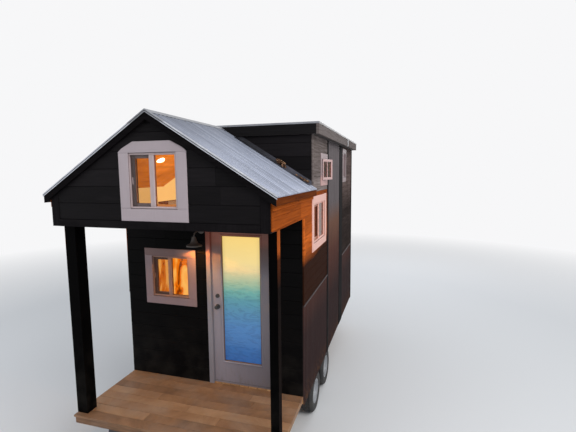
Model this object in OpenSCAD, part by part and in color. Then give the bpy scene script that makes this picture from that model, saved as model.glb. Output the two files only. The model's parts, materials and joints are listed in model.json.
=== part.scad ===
// Tiny house on wheels: a gable-roofed front over a recessed porch, and a flat-roofed raised rear.
// Millimetres. +X is the right side, +Y runs from the porch to the rear, +Z is up, the ground is z = 0.
// The modules measure y from the outer face of the front gable; place() centres the whole length.

/* [House] */
// Width across the outer faces of the side walls
house_w = 2440; // [2300:10:2600]
// Length from the front gable to the outer face of the rear wall
house_l = 5490; // [5250:10:6000]
// Thickness of the outer walls
wall_t = 120; // [100:5:140]
// Thickness of the floor
floor_t = 120; // [90:5:150]
// Height of the underside of the loft above the door frame
header_h = 103; // [96:1:200]
// Thickness of the loft floor
loft_t = 110; // [80:5:140]
// How far the loft's open inner edge lies in front of the side window
loft_end = 69; // [40:1:150]

/* [Porch] */
// Depth of the recessed porch
porch_d = 1120; // [1080:10:1200]
// How far the porch deck lies below the floor
porch_step = 20; // [10:5:30]
// Distance of the deck's front edge behind the gable
deck_setback = 60; // [0:10:100]
// Side of the square right porch post
post_w = 89; // [75:1:110]
// Side of the square left porch post
left_post_w = 140; // [110:5:150]
// Distance of the posts' rear faces behind the gable
post_back = 262; // [262:1:300]

/* [Gable roof] */
// Height of the roof surface at the eave above the underside of the loft
knee_h = 335; // [300:5:400]
// Height of the ridge above the eave
roof_rise = 810; // [730:5:900]
// Overhang past the side walls
eave_over = 75; // [60:5:120]
// Overhang past the gable
rake_over = 45; // [30:5:90]
// Thickness of the rafters and boards under the sheets, measured upright
deck_t = 75; // [60:5:90]
// Flat thickness of the metal sheets
sheet_t = 4; // [3:0.5:6]
// Height of the ribs of the roof sheets
rib_h = 13; // [8:1:18]
// Distance from rib to rib
rib_pitch = 68; // [60:1:90]
// Width of each wing of the ridge cap
cap_w = 110; // [80:5:160]
// Height of the metal trim along the gable edge
rake_trim_h = 30; // [24:2:50]

/* [Flat roof] */
// Distance of the raised part's front wall behind the porch wall's face
dormer_off = 485; // [350:5:760]
// Thickness of the raised part's front walls
dormer_front_t = 100; // [80:5:120]
// Height of the flat roof's upper face above the ridge
dormer_rise = 23; // [12:1:60]
// Height of the fascia boards
fascia_h = 150; // [130:5:170]
// Thickness of the fascia boards
fascia_t = 22; // [18:1:30]
// Overhang of the flat roof past the side walls
dormer_over = 106; // [102:2:150]
// Overhang of the flat roof past its front wall
front_over = 50; // [40:5:80]
// Overhang of the flat roof past the rear wall
rear_over = 60; // [40:5:90]
// Thickness of the metal drip edge
drip_t = 4; // [3:0.5:5]
// Height of the drip edge
drip_h = 24; // [16:2:36]

/* [Door] */
// Width of the door leaf
leaf_w = 788; // [760:2:820]
// Height of the door leaf
leaf_h = 2010; // [1800:5:2250]
// Thickness of the door leaf
leaf_t = 44; // [40:1:50]
// Free wall beside the door and window: the part of it that lies right of the door
door_side_share = 0.402; // [0.3:0.001:0.45]
// Gap round the door leaf
door_gap = 5; // [5:0.5:8]
// Thickness of the door frame
jamb_t = 32; // [25:1:36]
// Height of the threshold
sill_h = 20; // [15:1:25]
// Width of the door's stiles beside the glass
stile_w = 134; // [110:1:140]
// Width of the door's top rail
top_rail = 92; // [80:1:130]
// Width of the door's bottom rail
bottom_rail = 273; // [220:1:320]
// Width of the boards round the door
door_trim_w = 60; // [50:5:80]
// Height of the lock above the floor
lock_h = 1160; // [1020:10:1300]
// Distance of the knob below the lock
knob_drop = 140; // [110:5:170]

/* [Windows] */
// Width of the boards round the lower and side windows
trim_w = 100; // [80:5:105]
// Thickness of the boards round windows and door
trim_t = 20; // [15:1:24]
// Width of the window frames
frame_w = 20; // [16:1:30]
// Depth of the window frames
frame_d = 70; // [60:5:80]
// Thickness of the glass
glass_t = 6; // [5:1:8]
// Depth of the sliding sashes
slider_t = 26; // [20:1:30]
// Width across the boards of the upper front window
upper_w = 752; // [740:4:780]
// Gap between its boards and the rafters above
upper_head = 52; // [20:1:70]
// Height of the lower edge of those boards above the underside of the loft
upper_sill = 78; // [60:1:120]
// Distance of the upper window's middle from the middle of the house
upper_x = 31; // [0:1:60]
// Width across the boards of the lower front window
lower_w = 756; // [740:4:790]
// Height across the boards of the lower front window
lower_h = 748; // [700:1:760]
// Height of the lower edge of those boards above the floor
lower_sill = 990; // [950:1:1100]
// Part of the free wall that lies left of that window
lower_side_share = 0.301; // [0.2:0.001:0.35]
// Length across the boards of the cedar side window
side_l = 933; // [900:1:960]
// Height across the boards of the cedar side window
side_h = 723; // [690:1:730]
// Distance of its upper edge below the top of the cedar wall
side_head = 55; // [40:1:120]
// Distance of its front edge behind the porch wall's face
side_off = 449; // [300:1:520]
// Distance of the high side windows' lower edge above the cedar wall
high_sill = 63; // [50:1:90]
// Width of the boards round the high windows
high_trim_w = 80; // [70:5:85]
// Length across the boards of the front high window
high_front_l = 500; // [470:1:500]
// Height across its boards
high_front_h = 457; // [420:1:540]
// How far the front high window's sash stands open, in degrees
sash_open = 14; // [0:1:14]
// Length across the boards of the rear high window
high_rear_l = 462; // [440:1:500]
// Distance of its upper edge below the flat roof
high_head = 41; // [30:1:90]
// Distance of its front edge behind the black section
high_rear_off = 15; // [10:1:60]

/* [Cladding] */
// Height of the top of the low metal sheets above the floor
wainscot_h = 1110; // [950:10:1250]
// How far the cladding reaches below the floor
skirt = 20; // [10:5:40]
// Bare wall between the cedar side window and the black board behind it
side_gap = 100; // [60:5:140]
// Length of the tall metal strip
strip_l = 1075; // [900:5:1200]
// Width of the black board in front of the strip
board_w = 98; // [80:2:130]
// Thickness of the black boards
board_t = 18; // [14:1:24]
// Length of the black section behind the strip
black_l = 345; // [250:5:400]
// Flat thickness of the wall sheets
clad_t = 3; // [2:0.5:4]
// Height of the ribs of the wall sheets
clad_rib = 11; // [8:1:14]
// Width of the rear corner boards
corner_w = 90; // [70:5:110]
// Height of the cap along the top of the low sheets
cap_h = 22; // [16:1:30]

/* [Lamp] */
// Distance of the porch lamp from the boards beside the door
lamp_side = 61; // [54:1:70]
// Distance of the lamp's wall plate below the loft
lamp_drop = 175; // [120:5:220]
// Reach of the lamp's arm
lamp_reach = 190; // [160:5:230]
// Diameter of the lamp's shade
shade_d = 190; // [170:5:200]
// Height of the shade
shade_h = 85; // [75:5:100]

/* [Trailer] */
// Height of the steel rails
rail_h = 120; // [100:5:125]
// Width of the steel rails
rail_w = 60; // [50:5:80]
// Distance between the middles of the rails
rail_gap = 1500; // [1400:10:1600]
// Distance between the crossmembers, at most
member_pitch = 640; // [450:10:900]
// Diameter of the tyres
tyre_d = 585; // [520:5:660]
// Free height between the tyres and the floor
tyre_gap = 85; // [70:5:120]
// Width of the tyres
tyre_w = 180; // [155:5:205]
// Distance of the tyres' outer faces inside the side walls' faces
tyre_inset = 40; // [20:5:80]
// Diameter of the wheel rims
rim_d = 340; // [330:5:360]
// Diameter of the axle tubes
axle_d = 70; // [60:2:80]
// Distance between the axles
axle_gap = 760; // [720:10:800]
// Distance of the axles' middle behind the gable
axle_y = 2450; // [2350:10:2600]
// Length of the tongue behind the house
tongue_l = 1100; // [950:10:1300]

/* [Hidden] */
$fn = 48;
eps = 1;

// Gap between slanted faces that rest on each other
seat = 0.3;

// Heights, from the ground up
floor_bottom = tyre_d + tyre_gap;
floor_z = floor_bottom + floor_t;
porch_floor = floor_z - porch_step;
skirt_z = floor_bottom - skirt;
leaf_bottom = floor_z + sill_h + door_gap;
leaf_top = leaf_bottom + leaf_h;
rough_top = leaf_top + door_gap + jamb_t;
loft_z = rough_top + header_h;
eave_z = loft_z + knee_h;
ridge_z = eave_z + roof_rise;
dormer_top = ridge_z + dormer_rise;
flat_bottom = dormer_top - fascia_h;

// Widths and the roof's slope
half_w = house_w / 2;
inner_w = half_w - wall_t;
eave_x = half_w + eave_over;
slope = roof_rise / eave_x;
roof_angle = atan(slope);
sheet_v = (sheet_t + rib_h) / cos(roof_angle);
deck_inset = 12;

// Lengths, from the gable to the rear
wall_back = porch_d + wall_t;
dormer_y = porch_d + dormer_off;
fascia_y = dormer_y - front_over;
raised_y = dormer_y + dormer_front_t;
side_y = porch_d + side_off;
loft_d = side_y - loft_end;
board_y = side_y + side_l + side_gap;
strip_y = board_y + board_w;
black_y = strip_y + strip_l;
high_front_y = board_y - high_front_l;
high_rear_y = black_y + black_l + high_rear_off;
roof_rear = house_l + rear_over;

front_y = -rake_over - drip_t;
rear_y = house_l + tongue_l;
shift_y = -(front_y + rear_y) / 2;

// Height of the sheets' upper face and of the rafters' lower face at a distance from the ridge
function roof_z(x) = ridge_z - slope * abs(x);
function under_z(x) = roof_z(x) - sheet_v - deck_t - 2 * seat;

// The door and the lower window share out the free wall beside them, to the whole millimetre
reveal = 7;
door_outer = leaf_w + 2 * (door_gap + reveal + door_trim_w);
free_wall = 2 * inner_w - door_outer - lower_w;
door_x = round(inner_w - free_wall * door_side_share - door_outer / 2);
lower_x = round(-inner_w + free_wall * lower_side_share + lower_w / 2);
leaf_left = door_x - leaf_w / 2;
leaf_right = door_x + leaf_w / 2;
rough_left = leaf_left - door_gap - jamb_t;
rough_right = leaf_right + door_gap + jamb_t;

// Outline of a ribbed sheet: flat behind, with flat-topped ribs in front
rib_share = [0.15, 0.35, 0.65, 0.85];
function ribs(length, pitch, base, height) = let (count = floor(length / pitch)) concat(
    [[0, 0], [0, base]],
    [for (i = [0 : count - 1], k = [0 : 3])
        [(i + rib_share[k]) * length / count, base + (k == 1 || k == 2 ? height : 0)]],
    [[length, base], [length, 0]]
);

// Moves a piece into the frame of the whole object
module place() {
    translate([0, shift_y, 0]) children();
}

// The piece and its mirror image on the other side
module both_sides() {
    children();
    mirror([1, 0, 0]) children();
}

// A box given by its lowest and highest corners
module block(low, high) {
    translate(low) cube(high - low);
}

// An outline in x and z, drawn along y from y0 to y1
module along_y(y0, y1) {
    translate([0, y1, 0]) rotate([90, 0, 0]) linear_extrude(y1 - y0) children();
}

// An outline in y and z, drawn along x from x0 to x1
module along_x(x0, x1) {
    translate([x0, 0, 0]) rotate([90, 0, 90]) linear_extrude(x1 - x0) children();
}

// Windows: each is drawn in x and z about its lower left corner, its wall's outer face at y = 0
module window_boards(w, h, side, top) {
    difference() {
        block([0, -trim_t, 0], [w, 0, h]);
        block([side, -trim_t - eps, top], [w - side, eps, h - top]);
    }
}

module clipped_boards(w, h, side, bottom, top, clip) {
    difference() {
        along_y(-trim_t, 0) polygon([
            [0, 0], [w, 0], [w, h - clip.y], [w - clip.x, h], [clip.x, h], [0, h - clip.y]
        ]);
        block([side, -trim_t - eps, bottom], [w - side, eps, h - top]);
    }
}

// A slider: the right pane is fixed in the frame, and the left one has its own sash behind the middle bar
bar = 48;
bar_off = 15;
pane_y = 8;
slider_w = 34;
slider_y = pane_y + glass_t;
slider_pane_y = slider_y + (slider_t - glass_t) / 2;

module window_frame(w, h) {
    lip = 10;
    left = (w - bar) / 2 - bar_off;
    right = left + bar;
    difference() {
        block([0, -lip, 0], [w, frame_d - lip, h]);
        block([frame_w, -lip - eps, frame_w], [w - frame_w, frame_d, h - frame_w]);
    }
    block([left, -lip / 2, frame_w], [right, slider_y, h - frame_w]);
    difference() {
        block([frame_w, slider_y, frame_w], [right, slider_y + slider_t, h - frame_w]);
        block([frame_w + slider_w, slider_y - eps, frame_w + slider_w],
            [right - slider_w, slider_y + slider_t + eps, h - frame_w - slider_w]);
    }
}

module window_pane(w, h) {
    right = (w + bar) / 2 - bar_off;
    block([right, pane_y, frame_w], [w - frame_w, slider_y, h - frame_w]);
    block([frame_w + slider_w, slider_pane_y, frame_w + slider_w],
        [right - slider_w, slider_pane_y + glass_t, h - frame_w - slider_w]);
}

module window_hole(w, h) {
    block([0, -eps, 0], [w, wall_t + eps, h]);
}

// The upper front window's boards: at its sides, below and above, and what is cut off their upper corners
upper_side = 112;
upper_bottom = 122;
upper_top = 106;
upper_clip = [170, 98];
upper_z = loft_z + upper_sill;
upper_h = round(under_z(upper_x + upper_w / 2 - upper_clip.x)) - upper_head - upper_z;
lower_side = 109;
lower_z = floor_z + lower_sill;
cedar_top = round(under_z(half_w));
side_z = cedar_top - side_head - side_h;
high_z = cedar_top + high_sill;
high_rear_h = flat_bottom - high_head - high_z;
upper_in = [upper_w - 2 * upper_side, upper_h - upper_bottom - upper_top];
lower_in = [lower_w - 2 * lower_side, lower_h - 2 * trim_w];
side_in = [side_l - 2 * trim_w, side_h - 2 * trim_w];
high_front_in = [high_front_l - 2 * high_trim_w, high_front_h - 2 * high_trim_w];
high_rear_in = [high_rear_l - 2 * high_trim_w, high_rear_h - 2 * high_trim_w];

module at_upper() {
    translate([upper_x - upper_in.x / 2, 0, upper_z + upper_bottom]) children();
}

module at_lower() {
    translate([lower_x - lower_in.x / 2, porch_d, lower_z + trim_w]) children();
}

// Turns a window into the right wall: its width runs along y and its face looks along +X
module in_right_wall(y, z) {
    translate([half_w, y, z]) rotate([0, 0, 90]) children();
}

module at_side() {
    in_right_wall(side_y + trim_w, side_z + trim_w) children();
}

module at_high_front() {
    in_right_wall(high_front_y + high_trim_w, high_z + high_trim_w) children();
}

module at_high_rear() {
    in_right_wall(high_rear_y + high_trim_w, high_z + high_trim_w) children();
}

// The rear wall repeats the cedar side window above and the lower front window below
rear_drop = 60;
rear_high_z = high_z - rear_drop;

module at_rear_high() {
    translate([side_in.x / 2, house_l, rear_high_z]) rotate([0, 0, 180]) children();
}

module at_rear_low() {
    translate([lower_in.x / 2, house_l, lower_z + trim_w]) rotate([0, 0, 180]) children();
}

// Trailer
rail_setback = 40;
rail_inset = 30;
rail_x = rail_gap / 2;
rail_top = floor_bottom;
rail_bottom = rail_top - rail_h;
rail_front = deck_setback + rail_setback;
rail_rear = house_l - rail_inset;
wheel_z = tyre_d / 2;
tyre_x = half_w - tyre_inset - tyre_w;
hub_in = 20;
bead_in = 12;
spring_l = 560;
spring_t = 34;

module trailer_rails() {
    color("dimgray") place() both_sides() {
        block([rail_x - rail_w / 2, rail_front, rail_bottom], [rail_x + rail_w / 2, rail_rear, rail_top]);
    }
}

module crossmembers() {
    bar_w = 50;
    bar_h = 80;
    reach = rail_x - rail_w / 2;
    span = rail_rear - rail_front - bar_w;
    count = ceil(span / member_pitch);
    color("dimgray") place() for (i = [0 : count]) {
        y = rail_front + i * span / count;
        block([-reach, y, rail_top - bar_h], [reach, y + bar_w, rail_top]);
    }
}

module axle_with_springs(y) {
    hanger = 30;
    translate([-tyre_x - hub_in, y, wheel_z]) rotate([0, 90, 0]) {
        cylinder(d = axle_d, h = 2 * (tyre_x + hub_in));
    }
    for (side = [-1, 1]) {
        along_x(side * rail_x - rail_w / 2, side * rail_x + rail_w / 2) {
            translate([y - spring_l / 2, wheel_z + axle_d / 4]) square([spring_l, spring_t]);
            for (end = [y - spring_l / 2, y + spring_l / 2 - hanger]) {
                translate([end, wheel_z + axle_d / 4]) square([hanger, rail_bottom - wheel_z - axle_d / 4]);
            }
        }
    }
}

module axles() {
    color("dimgray") place() for (end = [-1, 1]) axle_with_springs(axle_y + end * axle_gap / 2);
}

// A wheel stands at its place with its axis along x, its inner face at x = 0
module at_wheels() {
    for (side = [0, 1], end = [-1, 1]) mirror([side, 0, 0]) {
        translate([tyre_x, axle_y + end * axle_gap / 2, wheel_z]) rotate([0, 90, 0]) children();
    }
}

module tyres() {
    shoulder = 34;
    color("black") place() at_wheels() rotate_extrude($fn = 72) polygon([
        [rim_d / 2, bead_in], [tyre_d / 2 - shoulder, 0], [tyre_d / 2, shoulder],
        [tyre_d / 2, tyre_w - shoulder], [tyre_d / 2 - shoulder, tyre_w], [rim_d / 2, tyre_w - bead_in]
    ]);
}

module wheel_rims() {
    wall = 8;
    disc_share = 0.62;
    disc_z = tyre_w * disc_share;
    hub_r = 45;
    hub_out = 30;
    color("silver") place() at_wheels() rotate_extrude($fn = 72) polygon([
        [0, hub_in], [hub_r, hub_in], [hub_r, disc_z - wall], [rim_d / 2 - wall, disc_z - wall],
        [rim_d / 2 - wall, bead_in], [rim_d / 2, bead_in], [rim_d / 2, tyre_w - bead_in],
        [rim_d / 2 - wall, tyre_w - bead_in], [rim_d / 2 - wall, disc_z], [hub_r, disc_z],
        [hub_r, disc_z + hub_out], [0, disc_z + hub_out]
    ]);
}

coupler_w = 90;
coupler_l = 260;
tip_y = rear_y - coupler_l;

module tongue() {
    arm = rail_w;
    arm_share = 0.8;
    color("dimgray") place() {
        translate([0, 0, rail_bottom]) linear_extrude(rail_h * arm_share) {
            for (side = [-1, 1]) polygon([
                [side * (rail_x + arm / 2), rail_rear], [side * (rail_x - arm / 2), rail_rear],
                [0, tip_y - arm / 2], [0, tip_y + arm], [side * coupler_w / 2, tip_y + arm]
            ]);
            translate([-coupler_w / 2, tip_y]) square([coupler_w, coupler_l - coupler_w / 2]);
            translate([0, rear_y - coupler_w / 2]) circle(d = coupler_w);
        }
    }
}

// Four corner stands and the tongue's own jack
module jacks() {
    foot = 200;
    foot_t = 8;
    tube = 60;
    saddle = 110;
    jack_rise = 230;
    color("dimgray") place() {
        both_sides() for (y = [rail_front + foot / 2, rail_rear - foot / 2]) {
            block([rail_x - foot / 2, y - foot / 2, 0], [rail_x + foot / 2, y + foot / 2, foot_t]);
            block([rail_x - tube / 2, y - tube / 2, foot_t],
                [rail_x + tube / 2, y + tube / 2, rail_bottom]);
        }
        translate([0, tip_y - rail_w - tube, 0]) {
            cylinder(d = foot, h = foot_t);
            cylinder(d = tube, h = rail_top + jack_rise);
            block([-saddle, -tube / 2, rail_bottom - foot_t], [saddle, tube / 2, rail_bottom]);
        }
    }
}

// Floors
module floor_deck() {
    color("burlywood") place() block([-half_w, porch_d, floor_bottom], [half_w, house_l, floor_z]);
}

module porch_deck() {
    color("saddlebrown") place() {
        block([-half_w, deck_setback, floor_bottom], [half_w, porch_d, porch_floor]);
    }
}

module loft_floor() {
    color("burlywood") place() block([-inner_w, wall_t, loft_z], [inner_w, loft_d, loft_z + loft_t]);
}

module porch_posts() {
    color("black") place() {
        block([half_w - post_w, post_back - post_w, porch_floor], [half_w, post_back, loft_z]);
        block([-half_w, post_back - left_post_w, porch_floor], [left_post_w - half_w, post_back, loft_z]);
    }
}

// Door: its leaf lies flush with the face of the porch wall and swings out over the porch
module porch_walls() {
    color("#26262a") place() difference() {
        union() {
            block([-inner_w, porch_d, floor_z], [rough_left, wall_back, loft_z]);
            block([rough_right, porch_d, floor_z], [inner_w, wall_back, loft_z]);
        }
        at_lower() window_hole(lower_in.x, lower_in.y);
    }
}

module porch_wall_header() {
    color("#26262a") place() block([rough_left, porch_d, rough_top], [rough_right, wall_back, loft_z]);
}

// Side walls: the front stretch is bevelled to the rafters, and the rest carries the raised walls
module bevelled_wall(y0, y1, z0) {
    along_y(y0, y1) polygon([
        [inner_w, z0], [half_w, z0], [half_w, under_z(half_w)], [inner_w, under_z(inner_w)]
    ]);
}

module side_wall() {
    difference() {
        union() {
            bevelled_wall(porch_d, raised_y, floor_z);
            block([inner_w, raised_y, floor_z], [half_w, house_l, under_z(half_w)]);
        }
        at_side() window_hole(side_in.x, side_in.y);
    }
}

module right_wall() {
    color("sienna") place() side_wall();
}

module left_wall() {
    color("sienna") place() mirror([1, 0, 0]) side_wall();
}

module rear_wall() {
    color("#7a6a60") place() difference() {
        block([-inner_w, house_l - wall_t, floor_z], [inner_w, house_l, flat_bottom]);
        at_rear_high() window_hole(side_in.x, side_in.y);
        at_rear_low() window_hole(lower_in.x, lower_in.y);
    }
}

module gable_wall() {
    color("#26262a") place() difference() {
        along_y(0, wall_t) polygon([
            [-half_w, loft_z], [half_w, loft_z], [half_w, under_z(half_w)], [0, under_z(0)],
            [-half_w, under_z(half_w)]
        ]);
        at_upper() window_hole(upper_in.x, upper_in.y);
    }
}

module loft_side_walls() {
    color("sienna") place() both_sides() bevelled_wall(wall_t, porch_d, loft_z);
}

module dormer_front_walls() {
    color("#26262a") place() both_sides() along_y(dormer_y, raised_y) intersection() {
        polygon([
            [seat, under_z(0) + seat], [half_w, under_z(half_w) + seat], [half_w, dormer_top],
            [seat, dormer_top]
        ]);
        square([half_w, flat_bottom]);
    }
}

module dormer_side_walls() {
    color("#7a6a60") place() both_sides() difference() {
        block([inner_w, raised_y, under_z(half_w)], [half_w, house_l, flat_bottom]);
        at_high_front() window_hole(high_front_in.x, high_front_in.y);
        at_high_rear() window_hole(high_rear_in.x, high_rear_in.y);
    }
}

// Gable roof: the sheets and rafters stop under the flat roof's fascia and drip edge
module fascia_notch() {
    block([-half_w, fascia_y, flat_bottom], [half_w, house_l, dormer_top + eps]);
    block([-half_w, fascia_y - drip_t, dormer_top - drip_h], [half_w, house_l, dormer_top + eps]);
}

module rafter_slab() {
    deck_x = eave_x - deck_inset;
    top = roof_z(0) - sheet_v - seat;
    low = top - slope * deck_x;
    color("#2b2b2e") difference() {
        along_y(-rake_over, dormer_y) polygon([
            [0, top], [deck_x, low], [deck_x, low - deck_t], [0, top - deck_t]
        ]);
        fascia_notch();
    }
}

module roof_deck_right() {
    place() rafter_slab();
}

module roof_deck_left() {
    place() mirror([1, 0, 0]) rafter_slab();
}

module roof_sheet() {
    ridge_gap = 14;
    run = eave_x / cos(roof_angle) - ridge_gap;
    color("lightsteelblue") difference() {
        translate([0, -rake_over, ridge_z]) rotate([0, roof_angle, 0]) {
            translate([0, 0, -sheet_t - rib_h]) along_x(ridge_gap, ridge_gap + run) {
                polygon(ribs(dormer_y + rake_over, rib_pitch, sheet_t, rib_h));
            }
        }
        fascia_notch();
    }
}

module roof_metal_right() {
    place() roof_sheet();
}

module roof_metal_left() {
    place() mirror([1, 0, 0]) roof_sheet();
}

// A strip that follows both slopes, its upper face up_z above the sheets
module chevron(x, up_z, t) {
    polygon([
        [0, roof_z(0) + up_z], [x, roof_z(x) + up_z], [x, roof_z(x) + up_z - t],
        [0, roof_z(0) + up_z - t], [-x, roof_z(x) + up_z - t], [-x, roof_z(x) + up_z]
    ]);
}

cap_t = 3;
rake_lap = 18;

module ridge_cap() {
    color("gainsboro") place() along_y(-rake_over + rake_lap + seat, fascia_y - drip_t - seat) {
        chevron(cap_w, cap_t + seat, cap_t);
    }
}

// The folded strip along the gable edge, and the drip edge round the flat roof
module roof_edge_trim() {
    lap = 60;
    over = half_w + dormer_over;
    color("gainsboro") place() {
        along_y(-rake_over - drip_t, -rake_over) chevron(eave_x, cap_t + seat, rake_trim_h);
        along_y(-rake_over, -rake_over + rake_lap) chevron(eave_x, cap_t + seat, cap_t);
        difference() {
            block([-over - drip_t, fascia_y - drip_t, dormer_top - drip_h],
                [over + drip_t, roof_rear + drip_t, dormer_top]);
            block([-over, fascia_y, dormer_top - drip_h - eps], [over, roof_rear, dormer_top - drip_t]);
            block([-over + lap, fascia_y + lap, dormer_top - drip_h - eps],
                [over - lap, roof_rear - lap, dormer_top + eps]);
        }
    }
}

module flat_roof() {
    over = half_w + dormer_over - fascia_t;
    color("#6f6f73") place() {
        block([-over, fascia_y + fascia_t, flat_bottom], [over, roof_rear - fascia_t, dormer_top - drip_t]);
    }
}

module roof_fascia() {
    over = half_w + dormer_over;
    color("#8a7a72") place() difference() {
        block([-over, fascia_y, flat_bottom], [over, roof_rear, dormer_top - drip_t]);
        block([-over + fascia_t, fascia_y + fascia_t, flat_bottom - eps],
            [over - fascia_t, roof_rear - fascia_t, dormer_top]);
    }
}

// Cladding on the side walls
clad_d = clad_t + clad_rib;

module wall_sheet(y, length, z0, z1) {
    translate([half_w, y, z0]) mirror([1, -1, 0]) linear_extrude(z1 - z0) {
        polygon(ribs(length, rib_pitch, clad_t, clad_rib));
    }
}

module metal_cladding() {
    rear_sheet_y = black_y + black_l;
    wainscot_z = floor_z + wainscot_h;
    color("slategray") place() both_sides() {
        wall_sheet(porch_d, board_y - porch_d, skirt_z, wainscot_z);
        wall_sheet(strip_y, strip_l, skirt_z, flat_bottom);
        wall_sheet(rear_sheet_y, house_l - corner_w - rear_sheet_y, skirt_z, wainscot_z);
    }
}

module wainscot_caps() {
    wainscot_z = floor_z + wainscot_h;
    cap_lip = 6;
    color("silver") place() both_sides() {
        for (run = [[porch_d, board_y], [black_y + black_l, house_l - corner_w]]) {
            block([half_w, run[0], wainscot_z], [half_w + clad_d + cap_lip, run[1], wainscot_z + cap_h]);
        }
    }
}

module black_boards() {
    color("#1d1d20") place() both_sides() {
        block([half_w, board_y, skirt_z], [half_w + board_t, strip_y, flat_bottom]);
        block([half_w, black_y, skirt_z], [half_w + board_t, black_y + black_l, flat_bottom]);
        block([half_w, house_l - corner_w, skirt_z], [half_w + board_t, house_l, flat_bottom]);
    }
}

// Door set in the porch wall
stop_w = 14;

module door_frame() {
    stop_y = porch_d + leaf_t + door_gap;
    color("whitesmoke") place() {
        difference() {
            block([rough_left, porch_d, floor_z], [rough_right, wall_back, rough_top]);
            block([rough_left + jamb_t, porch_d - eps, floor_z + sill_h],
                [rough_right - jamb_t, wall_back + eps, rough_top - jamb_t]);
        }
        difference() {
            block([rough_left + jamb_t, stop_y, floor_z + sill_h],
                [rough_right - jamb_t, wall_back, rough_top - jamb_t]);
            block([rough_left + jamb_t + stop_w, stop_y - eps, floor_z],
                [rough_right - jamb_t - stop_w, wall_back + eps, rough_top - jamb_t - stop_w]);
        }
    }
}

module door_trim() {
    left = rough_left + jamb_t - reveal;
    right = rough_right - jamb_t + reveal;
    top = rough_top - jamb_t + reveal;
    color("whitesmoke") place() difference() {
        block([left - door_trim_w, porch_d - trim_t, porch_floor],
            [right + door_trim_w, porch_d, top + door_trim_w]);
        block([left, porch_d - trim_t - eps, porch_floor - eps], [right, porch_d + eps, top]);
    }
}

// Butt hinges: fixed knuckles and pin on the frame, and a middle knuckle on the leaf
hinge_r = 6;
pin_r = 3;
pin_play = 0.2;
hinge_h = 90;
plate_t = 2;
plate_w = 28;
frame_plate_w = door_gap / 2 + reveal - 0.5;
knuckle_play = 0.5;
hinge_x = leaf_right + door_gap / 2;
hinge_y = porch_d - hinge_r;
hinge_inset = 180;
hinge_step = (leaf_h - 2 * hinge_inset - hinge_h) / 2;
hinge_zs = [for (k = [0 : 2]) leaf_bottom + hinge_inset + k * hinge_step];

module door_hinges() {
    color("dimgray") place() for (z = hinge_zs) translate([hinge_x, hinge_y, z]) {
        cylinder(r = pin_r, h = hinge_h);
        for (k = [0, 2]) {
            translate([0, 0, k * hinge_h / 3]) {
                cylinder(r = hinge_r, h = hinge_h / 3);
                block([0, hinge_r - plate_t, 0], [frame_plate_w, hinge_r, hinge_h / 3]);
            }
        }
    }
}

module door_leaf() {
    color("white") place() {
        difference() {
            block([leaf_left, porch_d, leaf_bottom], [leaf_right, porch_d + leaf_t, leaf_top]);
            block([leaf_left + stile_w, porch_d - eps, leaf_bottom + bottom_rail],
                [leaf_right - stile_w, porch_d + leaf_t + eps, leaf_top - top_rail]);
        }
        for (z = hinge_zs) translate([hinge_x, hinge_y, z + hinge_h / 3 + knuckle_play]) {
            difference() {
                union() {
                    cylinder(r = hinge_r, h = hinge_h / 3 - 2 * knuckle_play);
                    block([-plate_w, hinge_r - plate_t, 0], [0, hinge_r, hinge_h / 3 - 2 * knuckle_play]);
                }
                translate([0, 0, -eps]) cylinder(r = pin_r + pin_play, h = hinge_h);
            }
        }
    }
}

module door_glass() {
    mid_y = porch_d + leaf_t / 2;
    color("skyblue") place() {
        block([leaf_left + stile_w, mid_y - glass_t / 2, leaf_bottom + bottom_rail],
            [leaf_right - stile_w, mid_y + glass_t / 2, leaf_top - top_rail]);
    }
}

// Round lock and knob on both faces of the leaf
module door_lock() {
    lock_r = 28;
    lock_t = 14;
    lock_bevel = 4;
    rose_t = 6;
    neck_r = 10;
    knob_r = 27;
    knob_l = 58;
    z = floor_z + lock_h;
    color("#1d1d20") place() translate([leaf_left + stile_w / 2, porch_d + leaf_t / 2, z]) {
        for (face = [0, 180]) rotate([90, 0, face]) translate([0, 0, leaf_t / 2]) {
            cylinder(r1 = lock_r, r2 = lock_r - lock_bevel, h = lock_t);
            translate([0, -knob_drop, 0]) rotate_extrude() polygon([
                [0, 0], [lock_r + lock_bevel, 0], [lock_r + lock_bevel, rose_t], [neck_r, 2 * rose_t],
                [neck_r, knob_l * 0.45], [knob_r * 0.85, knob_l * 0.52], [knob_r, knob_l * 0.72],
                [knob_r * 0.85, knob_l * 0.93], [knob_r * 0.55, knob_l], [0, knob_l]
            ]);
        }
    }
}

// Windows of the front
module front_window_trims() {
    color("whitesmoke") place() {
        translate([upper_x - upper_w / 2, 0, upper_z]) {
            clipped_boards(upper_w, upper_h, upper_side, upper_bottom, upper_top, upper_clip);
        }
        translate([lower_x - lower_w / 2, porch_d, lower_z]) {
            window_boards(lower_w, lower_h, lower_side, trim_w);
        }
    }
}

module front_window_frames() {
    color("white") place() {
        at_upper() window_frame(upper_in.x, upper_in.y);
        at_lower() window_frame(lower_in.x, lower_in.y);
    }
}

module front_window_glass() {
    color("moccasin") place() {
        at_upper() window_pane(upper_in.x, upper_in.y);
        at_lower() window_pane(lower_in.x, lower_in.y);
    }
}

// The front high window has one sash, hinged at its front edge, in front of a plain frame
sash_w = 34;
sash_t = 30;
sash_play = 4;
sash_seat = 0.3;

module at_sash(open) {
    translate([sash_play + sash_t * sin(open), -sash_seat, sash_play]) rotate([0, 0, -open]) children();
}

module sash_frame() {
    w = high_front_in.x;
    h = high_front_in.y;
    ledge = 22;
    difference() {
        block([0, 0, 0], [w, frame_d, h]);
        block([ledge, -eps, ledge], [w - ledge, frame_d + eps, h - ledge]);
    }
}

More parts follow.
